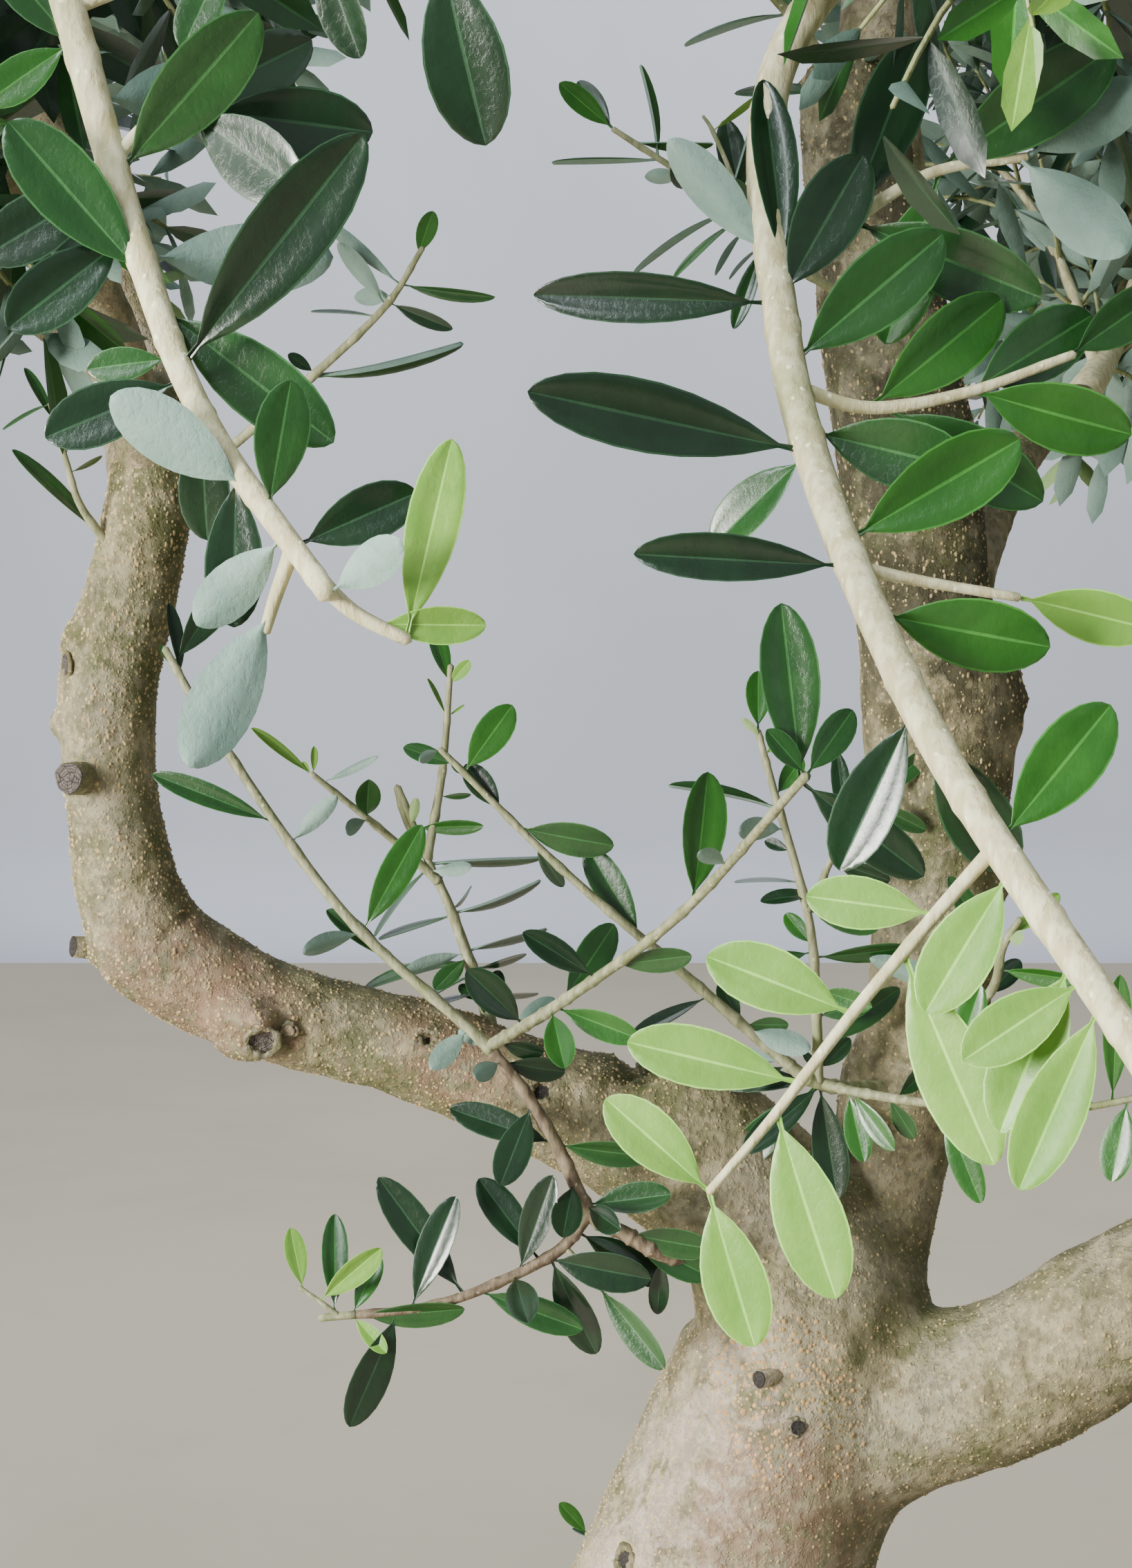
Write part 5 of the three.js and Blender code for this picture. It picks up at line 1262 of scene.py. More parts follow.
barkLook = dict(
    light=(168, 158, 124), dark=(114, 106, 76), olive=(94, 98, 52), mossGreen=(72, 84, 34),
    bloom=(190, 183, 164), blush=(146, 114, 92), speck=(206, 184, 134), crack=(64, 54, 38),
    # painted shadow: a dark olive brown for the crown's shade on the upright bough
    paintedCrownShade=(58, 54, 32), roughness=0.76,
    # painted shade and light: a dark olive for the top of the lying bough, and a pinker pale that also lights
    # the trunk's left side
    paintedTopShade=(84, 82, 52), pale=(214, 198, 182),
    # painted shade on the top of the lying left bough
    paintedTopShades=[(-214, -10, 1162, 30), (-200, -8, 1138, 34), (-160, -8, 1114, 40), (-110, -8, 1098, 42),
           (-60, -8, 1080, 42), (-236, -16, 1112, 34)],
    # pinker patches that also paint the light on the trunk's lit left side
    pinkAndPaintedLight=[(-30, -50, 905, 60), (2, -60, 955, 50), (-60, -40, 850, 60)],
    # painted shadow of the crown on the upright bough
    paintedCrownShades=[(92, -4, 1262, 70), (84, -4, 1340, 90), (66, 0, 1440, 90), (100, 0, 1200, 40)],
    blushes=[(-232, -20, 1120, 46), (-200, -20, 1104, 40), (-110, -18, 1090, 40), (20, -60, 900, 60)],
    mosses=[(-150, -14, 1070, 44), (92, -10, 1340, 110), (-246, -20, 1262, 36), (-20, -10, 1070, 46),
            (300, -60, 1060, 90), (104, -25, 1190, 46), (-226, -14, 1340, 60), (-181, -34, 1099, 14),
            (18, -56, 944, 24)])
limbLook = {**barkLook, "light": (176, 162, 132), "dark": (126, 116, 88)}
callusLook = {**barkLook, "light": (136, 122, 88), "dark": (84, 78, 50)}
cutLook = dict(deep=(104, 96, 90), pale=(138, 128, 118), stain=(84, 76, 70), crack=(38, 32, 28),
               rings=34.0, waver=5.0)
barkPlaces = [  # the list of places, its colour, share and the size of its patches
    # the pale patches paint light on the trunk's left side as well as a pinker tone; the dark olive ones
    # paint shade on the lying bough's top
    ("pinkAndPaintedLight", "pale", 0.6, 12), ("paintedTopShades", "paintedTopShade", 0.6, 16), ("mosses", "mossGreen", 0.6, 7),
    # the darkest patches paint the crown's shadow on the upright bough
    ("blushes", "blush", 0.6, 7), ("paintedCrownShades", "paintedCrownShade", 0.85, 22),
]


def makeBarkFinish(name, look, places=True):
    material, tree = newMaterial(name, Roughness=look["roughness"])
    wide = useGroup(tree, grain, Size=0.011, Stretch=1.1)
    fine = useGroup(tree, grain, Size=0.0034, Stretch=1.15)
    # painted shade: an olive tone on tops, undersides and the sides turned from the light
    face = addNode(tree, "SeparateXYZ", {0: addNode(tree, "NewGeometry").outputs["Normal"]}).outputs
    paintedShadeMask = maths(tree, "MAXIMUM", spread(tree, face[2], 0.2, -0.6), spread(tree, face[0], 0.1, 0.9))
    paintedShadeMask = maths(tree, "MAXIMUM", paintedShadeMask, spread(tree, face[2], 0.3, 0.8))
    colour = layered(tree, tint(*look["dark"]), (spread(tree, wide["Tone"], 0.3, 0.62), 1, look["light"]),
                     (patchMask(tree, 70, 0.46, 0.66, 3.3), 0.4, look["bloom"]),
                     (spread(tree, fine["Tone"], 0.5, 0.3), 0.5, look["crack"]),
                     # painted shade in olive, broken into patches
                     (times(tree, paintedShadeMask, patchMask(tree, 26, 0.4, 0.6, 7.7)), 0.75, look["olive"]),
                     (patchMask(tree, 14, 0.5, 0.66, 2.2), 0.5, look["olive"]))
    for kind, key, share, size in barkPlaces if places else ():
        for i, (*place, reach) in enumerate(look[kind]):
            mask = useGroup(tree, nearby, Centre=tuple(c * mm for c in place), Reach=reach * mm)["Mask"]
            ragged = times(tree, mask, patchMask(tree, size, 0.38, 0.54, 9.0 + i))
            colour = layered(tree, colour, (ragged, share, look[key]))
    specks = useGroup(tree, dots, Size=0.0042, Cover=0.5, Radius=0.3)
    crumbs = useGroup(tree, dots, Size=0.0019, Cover=0.55, Radius=0.36)
    colour = layered(tree, colour, (specks["Mask"], 0.7, look["speck"]),
                     (crumbs["Mask"], 0.45, look["speck"]))
    height = plus(tree, times(tree, fine["Height"], 0.7), specks["Height"])
    return finished(material, colour, plus(tree, height, times(tree, crumbs["Height"], 0.6)), 0.9, 0.8)


def makeCutFinish(name, light):  # sawn wood: rings round the middle and cracks from it, by the disc's own UV
    material, tree = newMaterial(name, Roughness=0.8)
    place = addNode(tree, "TexCoord").outputs["UV"]
    away = addNode(tree, "VectorMath", {0: place}, operation="LENGTH").outputs["Value"]
    waver = cloudOf(tree, place, 2.2, 3.0)[0]
    ringing = plus(tree, times(tree, away, cutLook["rings"]), times(tree, waver, cutLook["waver"]))
    rings = spread(tree, maths(tree, "SINE", ringing), -0.6, 0.9)
    parts = addNode(tree, "TexVoronoi", {"Vector": place, "Scale": 2.1}, feature="DISTANCE_TO_EDGE")
    cracks = spread(tree, parts.outputs["Distance"], 0.05, 0.0)
    deep, pale, stain = ([c * light for c in cutLook[key]] for key in ("deep", "pale", "stain"))
    colour = layered(tree, tint(*deep), (rings, 1, pale), (patchMask(tree, 4, 0.4, 0.62, 4.4), 0.6, stain),
                     (cracks, 1, cutLook["crack"]))
    return finished(material, colour, maths(tree, "SUBTRACT", times(tree, rings, 0.4), cracks), 0.7, 0.6)


leafFinishes = [makeLeafFinish(look, veins["upper"]) for look in leafTones]
leafFinishes += [makeLeafFinish(look, veins["under"]) for look in underTones]
for look in leafTones:  # midrib and rim of each age
    rib = dict(name=look["name"] + "Rib", deep=lifted(look["deep"], 1.15, 22),
               light=lifted(look["light"], 1.15, 26), roughness=0.42)
    leafFinishes.append(makeLeafFinish(rib, veins["rib"]))
twigFinishes = [makeTwigFinish(**look) for look in twigTones]
barkFinish = makeBarkFinish("oliveBark", barkLook)
limbFinish = makeBarkFinish("limbBark", limbLook, places=False)
barkPiece.data.materials.append(barkFinish)
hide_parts(*boughNodes)


print("limbs, lenticels and cut faces")
limbShape = dict(sides=22, rings=34, collar=0.55, collarReach=1.6, voxel=3.5,
                 soft=0.6, softRounds=3, waves=[(0.7, 24, 1, 6), (0.3, 6, 0.5, 7)])
lenticelLook = dict(net=3.1, farNet=5.3, nearReach=-20, radius=(0.48, 1.05), height=0.8, sides=5, stretch=0.8,
                    seed=5, gather=30, wander=2.8, cloud=30, bareBelow=-0.1, fewLarge=1.6, largerWarm=0.35,
                    drawnFrom=1150, drawnOver=60, sunk=0.3)


def collared(rows, shape):  # a limb flares where it leaves its bough
    flared = evenly(rows, 14)
    away = np.linspace(0, 1, len(flared)) * lengthOf(rows) / (rows[0][3] * shape["collarReach"])
    flared[:, 3] *= 1 + shape["collar"] * np.exp(-away ** 2)
    return flared


def makeLimbs(shape):
    heap = []
    for mass in crown:
        rows = collared(woodLines[mass["name"]], shape)
        addTube(heap, rows, shape["sides"], shape["rings"], dome=0.3)
    piece = skinOver(heap, "limbs", shape["voxel"])
    mesh = piece.data
    verts = vertsOf(mesh)
    verts = smoothed(verts, edgesOf(mesh), shape["soft"], shape["softRounds"])
    setVerts(mesh, verts)
    setVerts(mesh, verts + normalsOf(mesh) * wavesAt(verts, shape["waves"])[:, None])
    mesh.shade_smooth()
    mesh.materials.append(limbFinish)
    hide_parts(*(mass["name"] + "_limb" for mass in crown))


def basisOf(normals):
    side = np.cross(np.where(np.abs(normals[..., 2:3]) < 0.9, [0, 0, 1.0], [1.0, 0, 0]), normals)
    side /= np.linalg.norm(side, axis=-1, keepdims=True)
    return side, np.cross(normals, side)


def makeLenticels(look):  # raised corky dots, one to a cell of a net, closer on the left bough
    rng = np.random.default_rng(look["seed"])
    order = rng.permutation(len(barkVerts))
    trunkKnots = [place for place, _ in knotPlaces if place[0] > look["nearReach"]]
    away = np.min([apart(barkVerts, place) for place in trunkKnots], axis=0)
    gathered = away < look["gather"]
    close = (barkVerts[:, 0] < look["nearReach"]) | gathered
    net = np.where(close[order], look["net"], look["farNet"])
    cells = np.floor(barkVerts[order] / net[:, None]).astype(int)
    firsts = np.unique(cells, axis=0, return_index=True)[1]
    picks = order[firsts]
    cloud = noiseAt(barkVerts[picks], look["cloud"], 8) + 0.5 * rng.random(len(picks))
    keep = (cloud > look["bareBelow"]) & (barkVerts[picks, 2] > soilTop + 30)
    warm = gathered[picks]
    for knot, (place, _) in zip(knots, knotPlaces):
        keep &= apart(barkVerts[picks], place) > knot["radius"] + knot["callus"]
    picks, warm = picks[keep], warm[keep]
    centre, normal, count = barkVerts[picks], barkNormals[picks], len(picks)
    side, across = basisOf(normal)
    low, high = look["radius"]
    radius = low + (high - low) * rng.random(count) ** look["fewLarge"]
    radius = (radius * (1 + look["largerWarm"] * warm))[:, None, None]
    upright = np.clip((centre[:, 2] - look["drawnFrom"]) / look["drawnOver"], 0, 1) + 0.4
    stretch = 1 + look["stretch"] * (upright * rng.random(count))[:, None, None]
    turn = turnsOf(look["sides"]) + rng.random(count)[:, None]
    ring = np.cos(turn)[..., None] * side[:, None] + np.sin(turn)[..., None] * across[:, None] * stretch
    drift = (rng.random((2, count, 1)) - 0.5) * look["wander"]
    centre = centre + side * drift[0] + across * drift[1]
    base = centre[:, None] + ring * radius - normal[:, None] * look["sunk"]
    top = centre[:, None] + normal[:, None] * look["height"] * radius
    verts = np.concatenate([base, top], axis=1)
    n = look["sides"]
    tris = np.stack([np.arange(n), (np.arange(n) + 1) % n, np.full(n, n)], axis=1)
    shift = (np.arange(count) * (n + 1))[:, None, None]
    finishes = [makeTwigFinish(**look) for look in lenticelTones]
    piece = meshObject("lenticels", verts.reshape(-1, 3), [(tris + shift).reshape(-1, 3)], finishes,
                       np.repeat(warm, n))
    print("lenticels", count)


endCuts = dict(nodes=("left_bough_upper", "upright_bough", "right_bough_upper"), share=0.86, proud=2.4,
               root=4)
knotRoots = dict(peg=12, scar=3)  # how deep each is let into the bark


def discArrays(centre, way, radius, proud, root, number, sides=28):
    # a checked face with a worn edge, and a wall down into the bark, by shares of the radius and heights
    side, across = basisOf(way)
    deep = proud + root
    share, height = rowsOf([(0.22, 0.0), (0.45, -0.15), (0.66, -0.1), (0.84, 0.1), (0.95, 0.15), (1.0, -0.35),
                            (1.05, -0.4 * deep), (1.12, -deep)]).T[..., None]
    angle = turnsOf(sides)
    spokes = np.cos(angle)[:, None] * side + np.sin(angle)[:, None] * across
    reach = radius * share * (1 + 0.05 * np.sin(3 * angle + number) + 0.03 * np.sin(7 * angle))
    check = min(0.35, 0.05 * radius) * np.sin(5 * angle + number) * ((0.3 < share) & (share < 0.9))
    verts = centre + reach[..., None] * spokes + (proud + height + check)[..., None] * way
    verts = np.vstack([verts.reshape(-1, 3), centre + way * proud, centre - way * root])
    flat = np.stack([share * np.cos(angle), share * np.sin(angle)], axis=-1).reshape(-1, 2)
    return verts, *ringFaces(sides, len(share), flip=True), np.vstack([flat, np.zeros((2, 2))])


def callusArrays(centre, way, radius, thick, number, sides=40, around=10):  # the lumpy ring over a cut's edge
    side, across = basisOf(way)
    i, j = np.meshgrid(np.arange(sides), np.arange(around), indexing="ij")
    angle, turn = i * 2 * math.pi / sides, j * 2 * math.pi / around
    lump = 1 + 0.28 * np.sin(3 * angle + number) + 0.2 * np.sin(8 * angle + 2 * number)
    reach = (radius + thick * (0.35 + 0.8 * lump * np.cos(turn)))[..., None]
    height = thick * 0.7 * lump * np.sin(turn) - thick * 0.35
    spokes = np.cos(angle)[..., None] * side + np.sin(angle)[..., None] * across
    verts = (centre + spokes * reach + height[..., None] * way).reshape(-1, 3)
    verts += (noiseAt(verts, 2.4, number) * thick * 0.3)[:, None] * way
    ahead, above = (i + 1) % sides, (j + 1) % around
    corners = ((i, j), (ahead, j), (ahead, above), (i, above))
    quads = np.stack([a * around + b for a, b in corners], axis=-1)
    return verts, quads.reshape(-1, 4), np.zeros((0, 3), dtype=int)


def makeKnots():
    faces, calluses, flats, places = [], [], [], []
    for knot, (place, normal) in zip(knots, knotPlaces):
        way = unit(rowsOf(knot.get("toward") or normal))
        root = knotRoots["peg" if knot["proud"] > 5 else "scar"]
        places.append((place, way, knot["radius"], knot["proud"], root, knot["callus"], knot["tone"]))
    for name in endCuts["nodes"]:
        end, way = woodAt(name, 1), woodHeading(name, 1)
        places.append((end[:3], way, end[3] * endCuts["share"], endCuts["proud"], endCuts["root"], 0, 1))
    for number, (place, way, radius, proud, root, callus, tone) in enumerate(places):
        *arrays, flat = discArrays(place, way, radius, proud, root, number)
        kinds = np.full(len(arrays[1]), tone)
        kinds[len(kinds) * 5 // 7:] = 3  # the wall is bark
        faces.append((arrays, kinds))
        flats.append(flat)
        if callus:
            calluses.append((callusArrays(place, way, radius, callus, number), 0))
    finishes = [makeCutFinish("cutWood", 0.86), makeCutFinish("oldCut", 0.5), twigFinishes[2], barkFinish]
    piece = heapObject(faces, "cutFaces", finishes)
    corners = arrayOf(piece.data.loops, "vertex_index", 1, np.int32)[:, 0]
    layer = piece.data.uv_layers.new(name="disc")
    layer.data.foreach_set("uv", np.concatenate(flats)[corners].astype(np.float32).ravel())
    ring = heapObject(calluses, "callusRings", [makeBarkFinish("callus", callusLook, places=False)])


makeLimbs(limbShape)
makeLenticels(lenticelLook)
makeKnots()


print("leaves of the crown")
weepingKnots = dict(spacing=40, step=2.5, swell=0.1)
crownGroups = dict(leftCrown=["left"], middleCrown=["crown", "back"], rightCrown=["right"])


def makeCrown():
    weeping = {mass["name"]: growWeeping(mass) for mass in crown if mass["name"] in weepingTwigs}
    front = np.concatenate([leaves for _, leaves in weeping.values()])
    placed = treeOf(overLeaf(front, bladeSpots).reshape(-1, 3))
    for group, starts in crownGroups.items():  # the masses whose names start so
        twigs, leafRows, frontRows, nodes = [], [], [], []
        for k, mass in enumerate(crown):
            if mass["name"].split("_")[0] not in starts:
                continue
            growMass(k, mass, placed, twigs, leafRows)
            nodes.append(mass["name"] + "_foliage")
            if mass["name"] in weeping:
                stems, leaves = weeping[mass["name"]]
                for rows in stems:
                    rows = knotty(rows, **weepingKnots)
                    addTube(twigs, rows, 14, len(rows), shape=angledTwig, dome=0.8)
                frontRows.append(leaves)
        pieces = [buildLeaves(group + "Leaves", np.concatenate(leafRows), plainForm, leafFinishes),
                  heapObject(twigs, group + "Twigs", twigFinishes)]
        if frontRows:
            front = np.concatenate(frontRows)
            pieces.append(buildLeaves(group + "FrontLeaves", front, fineForm, leafFinishes))
        for piece in pieces:
            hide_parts(*nodes)
        print(group, len(nodes), "masses")


makeCrown()


print("leafy shoots inside the fork")
# stems as points x, y, z, the main one first; "older" is the brown share of a stem, by its number
shoots = table("name radii stems older", [
    ("front_shoot", (3.6, 1.6), [
        [(4, -28, 1000), (-22, -56, 1012), (-40, -58, 1022), (-54, -56, 1030), (-71, -54, 1064),
         (-96, -54, 1099), (-155, -50, 1154), (-208, -44, 1228), (-228, -42, 1262)],
        [(-54, -56, 1030), (-71, -58, 1012), (-116, -64, 994), (-165, -64, 988)],
        [(-96, -54, 1099), (-64, -65, 1121), (-19, -110, 1163), (20, -220, 1228)]], {0: 0.62, 1: 0.9}),
    ("left_bough_shoot", (3.0, 1.2), [
        [(-90, 6, 1075), (-102, 14, 1112), (-114, 16, 1146), (-124, 16, 1168), (-136, 14, 1199)],
        [(-124, 16, 1168), (-117, 12, 1207), (-113, 6, 1252)],
        [(-119, 16, 1158), (-142, 10, 1180), (-172, -4, 1207)]]),
    ("fork_shoot", (3.2, 1.3), [
        [(78, 2, 1070), (43, -26, 1078), (21, -28, 1094), (-16, -34, 1127), (-65, -38, 1170),
         (-116, -34, 1220)],
        [(43, -26, 1078), (60, -36, 1076), (90, -54, 1075), (130, -66, 1074), (188, -76, 1087)],
        [(42, -27, 1079), (41, -30, 1105), (37, -34, 1149), (21, -38, 1206), (15, -38, 1228)]]),
    ("right_shoot", (2.4, 1.3), [
        [(94, -10, 1100), (112, -36, 1118), (116, -46, 1139), (122, -52, 1152)]]),
    ("upper_shoot", (2.4, 1.2), [
        [(66, -6, 1400), (43, -14, 1411), (16, -24, 1427), (-10, -32, 1449), (-45, -40, 1471)]]),
    ("stub_shoot", (3.0, 1.5), [
        [(56, 2, 1478), (36, -10, 1511), (20, -18, 1527), (-14, -32, 1562)]]),
    ("left_inner_shoot", (2.6, 1.2), [
        [(-238, -4, 1322), (-213, -18, 1336), (-171, -30, 1370), (-138, -36, 1400), (-122, -38, 1424)]]),
    ("left_side_shoot", (2.0, 1.0), [
        [(-246, -8, 1292), (-264, -20, 1318), (-270, -24, 1338), (-276, -26, 1362)]]),
    ("trunkSprig", (1.5, 0.9), [[(-34, 28, 850), (-47, 31, 855), (-55, 32, 861)]]),
])
shootLeaf = dict(spacing=21, first=0.12, last=0.97, length=47, width=14.5, splay=0.95, vary=0.25, roll=0.8,
                 droop=0.18)


def shootRows(shoot, k):
    (root, tip), points = shoot["radii"], shoot["stems"][k]
    start = root if k == 0 else (root + tip) / 2
    return np.column_stack([points, np.linspace(start, tip, len(points))])


def makeShoots():
    for shoot in shoots:
        heap, label = [], shoot["name"].replace("_", "")
        stems = [shootRows(shoot, k) for k in range(len(shoot["stems"]))]
        stems += sideRows(shoot["name"], stems)
        for k, rows in enumerate(stems):
            rows = knotty(rows, shootLeaf["spacing"])
            count, older = len(rows), shoot.get("older", {}).get(k, 0)
            for start, end, kind in ((0, older, 2), (older, 1, 3)):  # the older wood is brown
                if end > start:
                    shares = np.linspace(start, end, max(4, int(count * (end - start))))
                    addTube(heap, rows, 12, shares, kind, shape=angledTwig, dome=0.8)
        leaves = handPlaced(shoot["name"], stems)
        if not leaves:
            random = seeded(len(shoot["name"]) * 31)
            for rows in stems:
                leaves += leavesOn(rows, shootLeaf, random, (1, 3))
        leaves = np.array(leaves)
        pieces = [heapObject(heap, label + "Stems", twigFinishes),
                  buildLeaves(label + "Leaves", leaves, fineForm, leafFinishes)]
        for piece in pieces:
            if "_" in shoot["name"]:  # the sprig on the trunk is finer than any node
                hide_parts(shoot["name"])
        print(label, len(leaves), "leaves")


makeShoots()


print("pot and soil")
pot = dict(height=440, footRadius=190, rimRadius=262, rimHeight=54, rimProud=12, wall=24, floor=26, sides=144,
           drains=3, drainRadius=9, drainCircle=80, inset=0.8, waver=[(0.55, 2, 120), (0.25, 5, 60)],
           turning=(0.35, 4.3))  # waver: height, lobes and pitch; turning marks: height and pitch
clayLook = dict(deep=(150, 98, 74), light=(182, 128, 100), chalk=(208, 176, 152), stain=(116, 84, 62),
                damp=(98, 78, 58), bloom=(222, 206, 184), pit=(118, 74, 54), roughness=0.86)
soil = dict(clear=3.0, mound=9, moundReach=95, moundSoft=45, below=5, rings=46, sides=120, seed=3,
            waves=[(3.2, 38, 1, 11), (1.8, 12, 1, 12), (0.9, 5, 1, 13)],
            deep=(52, 40, 30), light=(92, 74, 56), speck=(150, 134, 112))
litterRoom = dict(wall=14, trunk=104, lobes=12)  # how far crumbs keep from the wall and the trunk's foot
litter = table("name finish count size flat deep light", [
    ("barkChips", "chipBark", 420, (4, 11), 1.3, (82, 56, 38), (138, 102, 72)),
    ("grit", "gritStone", 900, (1.3, 3.4), 0.4, (120, 112, 98), (186, 178, 162)),
])


def roundedProfile(corners, steps=5):  # corners: radius, height, and how far the rounding starts from each
    points = []
    for i, (x, z, size) in enumerate(corners):
        here = np.array([x, z], dtype=float)
        if size == 0:
            points.append(here)
            continue
        before, after = rowsOf(corners[i - 1][:2]), rowsOf(corners[(i + 1) % len(corners)][:2])
        start, end = here + unit(before - here) * size, here + unit(after - here) * size
        for t in np.linspace(0, 1, steps):
            points.append(start * (1 - t) ** 2 + here * 2 * t * (1 - t) + end * t ** 2)
    return np.array(points)


def potProfile():
    neck, high = pot["rimRadius"] - pot["rimProud"], pot["height"]
    under, wall, foot = high - pot["rimHeight"], pot["wall"], pot["footRadius"]
    return roundedProfile([
        (foot, 0, 9), (neck - 1, under, 3), (pot["rimRadius"] - 0.5, under + 7, 5),
        (pot["rimRadius"] - 0.5, high, 9), (neck - wall, high, 9), (foot - wall, pot["floor"], 12)])


def level(radius, angles, height):
    return np.stack([radius * np.cos(angles), radius * np.sin(angles), height + 0 * angles], axis=1)


def wheelThrown(points, sides):  # turned rings that wander a little, as on a thrown pot
    angles, rings = turnsOf(sides), []
    for x, z in points:
        waver = sum(height * np.cos(lobes * angles + z / pitch) for height, lobes, pitch in pot["waver"])
        mark = pot["turning"][0] * math.sin(z / pot["turning"][1])
        rings.append(level(x + (waver - pot["inset"]) + mark, angles, z))
    return rings


def subdivided(points, step):
    out = [points[0]]
    for a, b in zip(points[:-1], points[1:]):
        pieces = max(1, round(apart(a, b) / step))
        out += [a + (b - a) * (k + 1) / pieces for k in range(pieces)]
    return np.array(out)


def makePotFinish():
    material, tree = newMaterial("terracotta", Roughness=clayLook["roughness"])
    clay = useGroup(tree, grain, Size=0.02, Stretch=0.35)
    lines = useGroup(tree, grain, Size=0.003, Stretch=0.3)
    pits = useGroup(tree, dots, Size=0.007, Cover=0.2, Radius=0.22)
    height = addNode(tree, "SeparateXYZ", {0: objectPlace(tree)}).outputs[2]
    damp = times(tree, spread(tree, height, 0.13, 0.01), patchMask(tree, 40, 0.3, 0.6, 1.3))
    bloom = times(tree, spread(tree, height, 0.34, 0.43), patchMask(tree, 26, 0.46, 0.6, 3.9))
    look = clayLook
    colour = layered(tree, tint(*look["deep"]), (spread(tree, clay["Tone"], 0.3, 0.7), 1, look["light"]),
                     (patchMask(tree, 90, 0.48, 0.66, 6.1), 0.55, look["chalk"]),
                     (patchMask(tree, 60, 0.56, 0.7, 8.4), 0.6, look["stain"]), (damp, 0.7, look["damp"]),
                     (bloom, 0.6, look["bloom"]), (pits["Mask"], 0.6, look["pit"]))
    relief = maths(tree, "SUBTRACT", lines["Height"], times(tree, pits["Height"], 1.5))
    return finished(material, colour, relief, 0.5, 0.6)


def makePot():
    points = subdivided(potProfile(), 14)
    rings = wheelThrown(points, pot["sides"])
    verts = np.vstack(rings + [np.array([(0, 0, 0), (0, 0, pot["floor"])])])
    piece = meshObject("clayPot", verts, ringFaces(pot["sides"], len(rings)), [makePotFinish()])
    drills = []
    for k in range(pot["drains"]):
        angle = 2 * math.pi * k / pot["drains"]
        x, y = pot["drainCircle"] * math.cos(angle), pot["drainCircle"] * math.sin(angle)
        bore = rowsOf([(x, y, z, pot["drainRadius"]) for z in (-20, pot["floor"] + 20)])
        addTube(drills, bore, 20, 2)
    drill = heapObject(drills, "drill", [], rideOn=None)
    applied(piece, "BOOLEAN", operation="DIFFERENCE", object=drill)
    bpy.data.objects.remove(drill)
    piece.data.shade_smooth()
    piece.data.set_sharp_from_angle(angle=math.radians(35))
    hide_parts("pot")


def soilHeight(x, y):
    away = np.hypot(x - 6, y) - soil["moundReach"]
    mound = soil["mound"] * np.exp(-np.maximum(away, 0) / soil["moundSoft"])
    flat = np.stack([x, y, np.zeros_like(x)], axis=1)
    return soilTop - soil["below"] + mound + wavesAt(flat, soil["waves"])


def makeSoilFinish(name, deep, light):
    material, tree = newMaterial(name, Roughness=0.93)
    crumbs = useGroup(tree, grain, Size=0.006, Stretch=1.0)
    specks = useGroup(tree, dots, Size=0.006, Cover=0.16, Radius=0.3)
    colour = layered(tree, tint(*deep), (spread(tree, crumbs["Tone"], 0.35, 0.68), 1, light),
                     (patchMask(tree, 30, 0.5, 0.7, 2.9), 0.5, [c * 0.72 for c in deep]),
                     (specks["Mask"], 1, soil["speck"]))
    return finished(material, colour, plus(tree, crumbs["Height"], specks["Height"]), 0.9, 1.6)


def wallRadius(z):  # the inside of the pot at a height
    foot, neck = pot["footRadius"] - pot["wall"], pot["rimRadius"] - pot["rimProud"] - pot["wall"]
    return foot + (neck - foot) * (z - pot["floor"]) / (pot["height"] - pot["floor"])


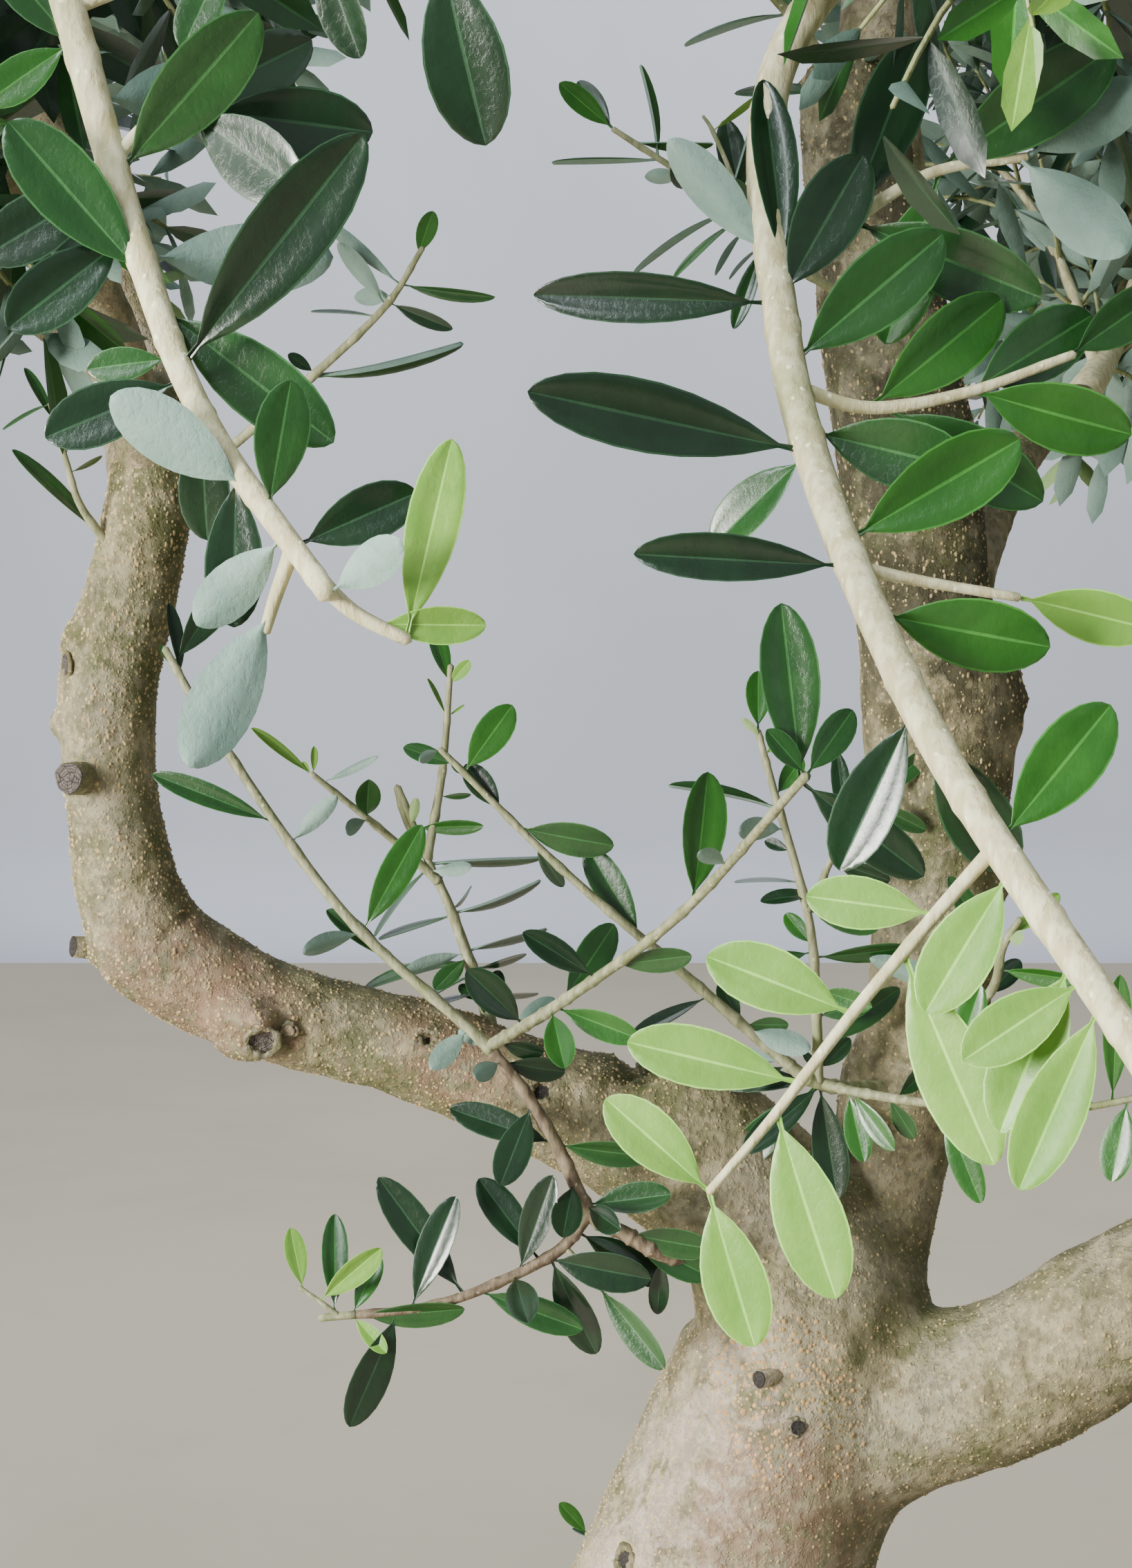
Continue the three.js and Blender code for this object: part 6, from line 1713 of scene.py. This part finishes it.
def makeSoil():
    angles = turnsOf(soil["sides"])
    edge, bottom = wallRadius(soilTop) - soil["clear"], pot["floor"] + 1.5
    rings = []
    for share in np.linspace(1 / soil["rings"], 1, soil["rings"]):
        ring = level(edge * share, angles, 0)
        ring[:, 2] = soilHeight(ring[:, 0], ring[:, 1]) - 3 * (share > 0.98)
        rings.append(ring)
    rings.append(level(wallRadius(bottom) - soil["clear"], angles, bottom))
    verts = np.vstack(rings + [np.array([(0, 0, rings[0][:, 2].mean()), (0, 0, bottom)])])
    piece = meshObject("soilBed", verts, ringFaces(soil["sides"], len(rings), flip=True),
                       [makeSoilFinish("compost", soil["deep"], soil["light"])])
    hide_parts("soil")


def scatter(crumb, seed):  # small hulls: a ring between two smaller ones, squeezed and turned at random
    rng = np.random.default_rng(seed)
    spots = []
    while len(spots) < crumb["count"]:
        radius = math.sqrt(rng.random()) * (wallRadius(soilTop) - litterRoom["wall"])
        angle = rng.random() * 2 * math.pi
        x, y = radius * math.cos(angle), radius * math.sin(angle)
        if math.hypot(x - 4, y) > litterRoom["trunk"] + litterRoom["lobes"] * math.cos(5 * angle):
            spots.append((x, y))
    spots, heap, (low, high), flat = np.array(spots), [], crumb["size"], crumb["flat"]
    quads = ringFaces(6, 3)[0]
    fan = [(5, k + 1, k) for k in (3, 2, 1, 0)] + [(12, k, k + 1) for k in range(13, 17)]
    for (x, y), z in zip(spots, soilHeight(spots[:, 0], spots[:, 1])):
        scale = low + (high - low) * rng.random() ** 2
        long, thick = 1 + flat * rng.random(), 1 / (1 + 1.3 * flat * rng.random())
        turn, tilt = rng.random() * 2 * math.pi, (rng.random(2) - 0.5) * 0.7
        angle = turnsOf(6) + rng.random(6) * 0.5
        lump = np.concatenate([level(r, angle, h) for r, h in ((0.6, -0.7), (1.0, 0.0), (0.62, 0.75))])
        lump[:, 0] *= long
        lump *= 1 + 0.25 * (rng.random(lump.shape) - 0.5)
        lump[:, 2] = lump[:, 2] * thick + lump[:, 0] * tilt[0] + lump[:, 1] * tilt[1]
        c, s = math.cos(turn), math.sin(turn)
        turned = lump @ np.array([(c, s, 0), (-s, c, 0), (0, 0, 1)])
        heap.append(((turned * scale + (x, y, z + scale * thick * 0.35), quads, np.array(fan)), 0))
    finish = makeSoilFinish(crumb["finish"], crumb["deep"], crumb["light"])
    piece = heapObject(heap, crumb["name"], [finish], smooth=False)


makePot()
makeSoil()
for k, crumb in enumerate(litter):
    scatter(crumb, soil["seed"] + k)
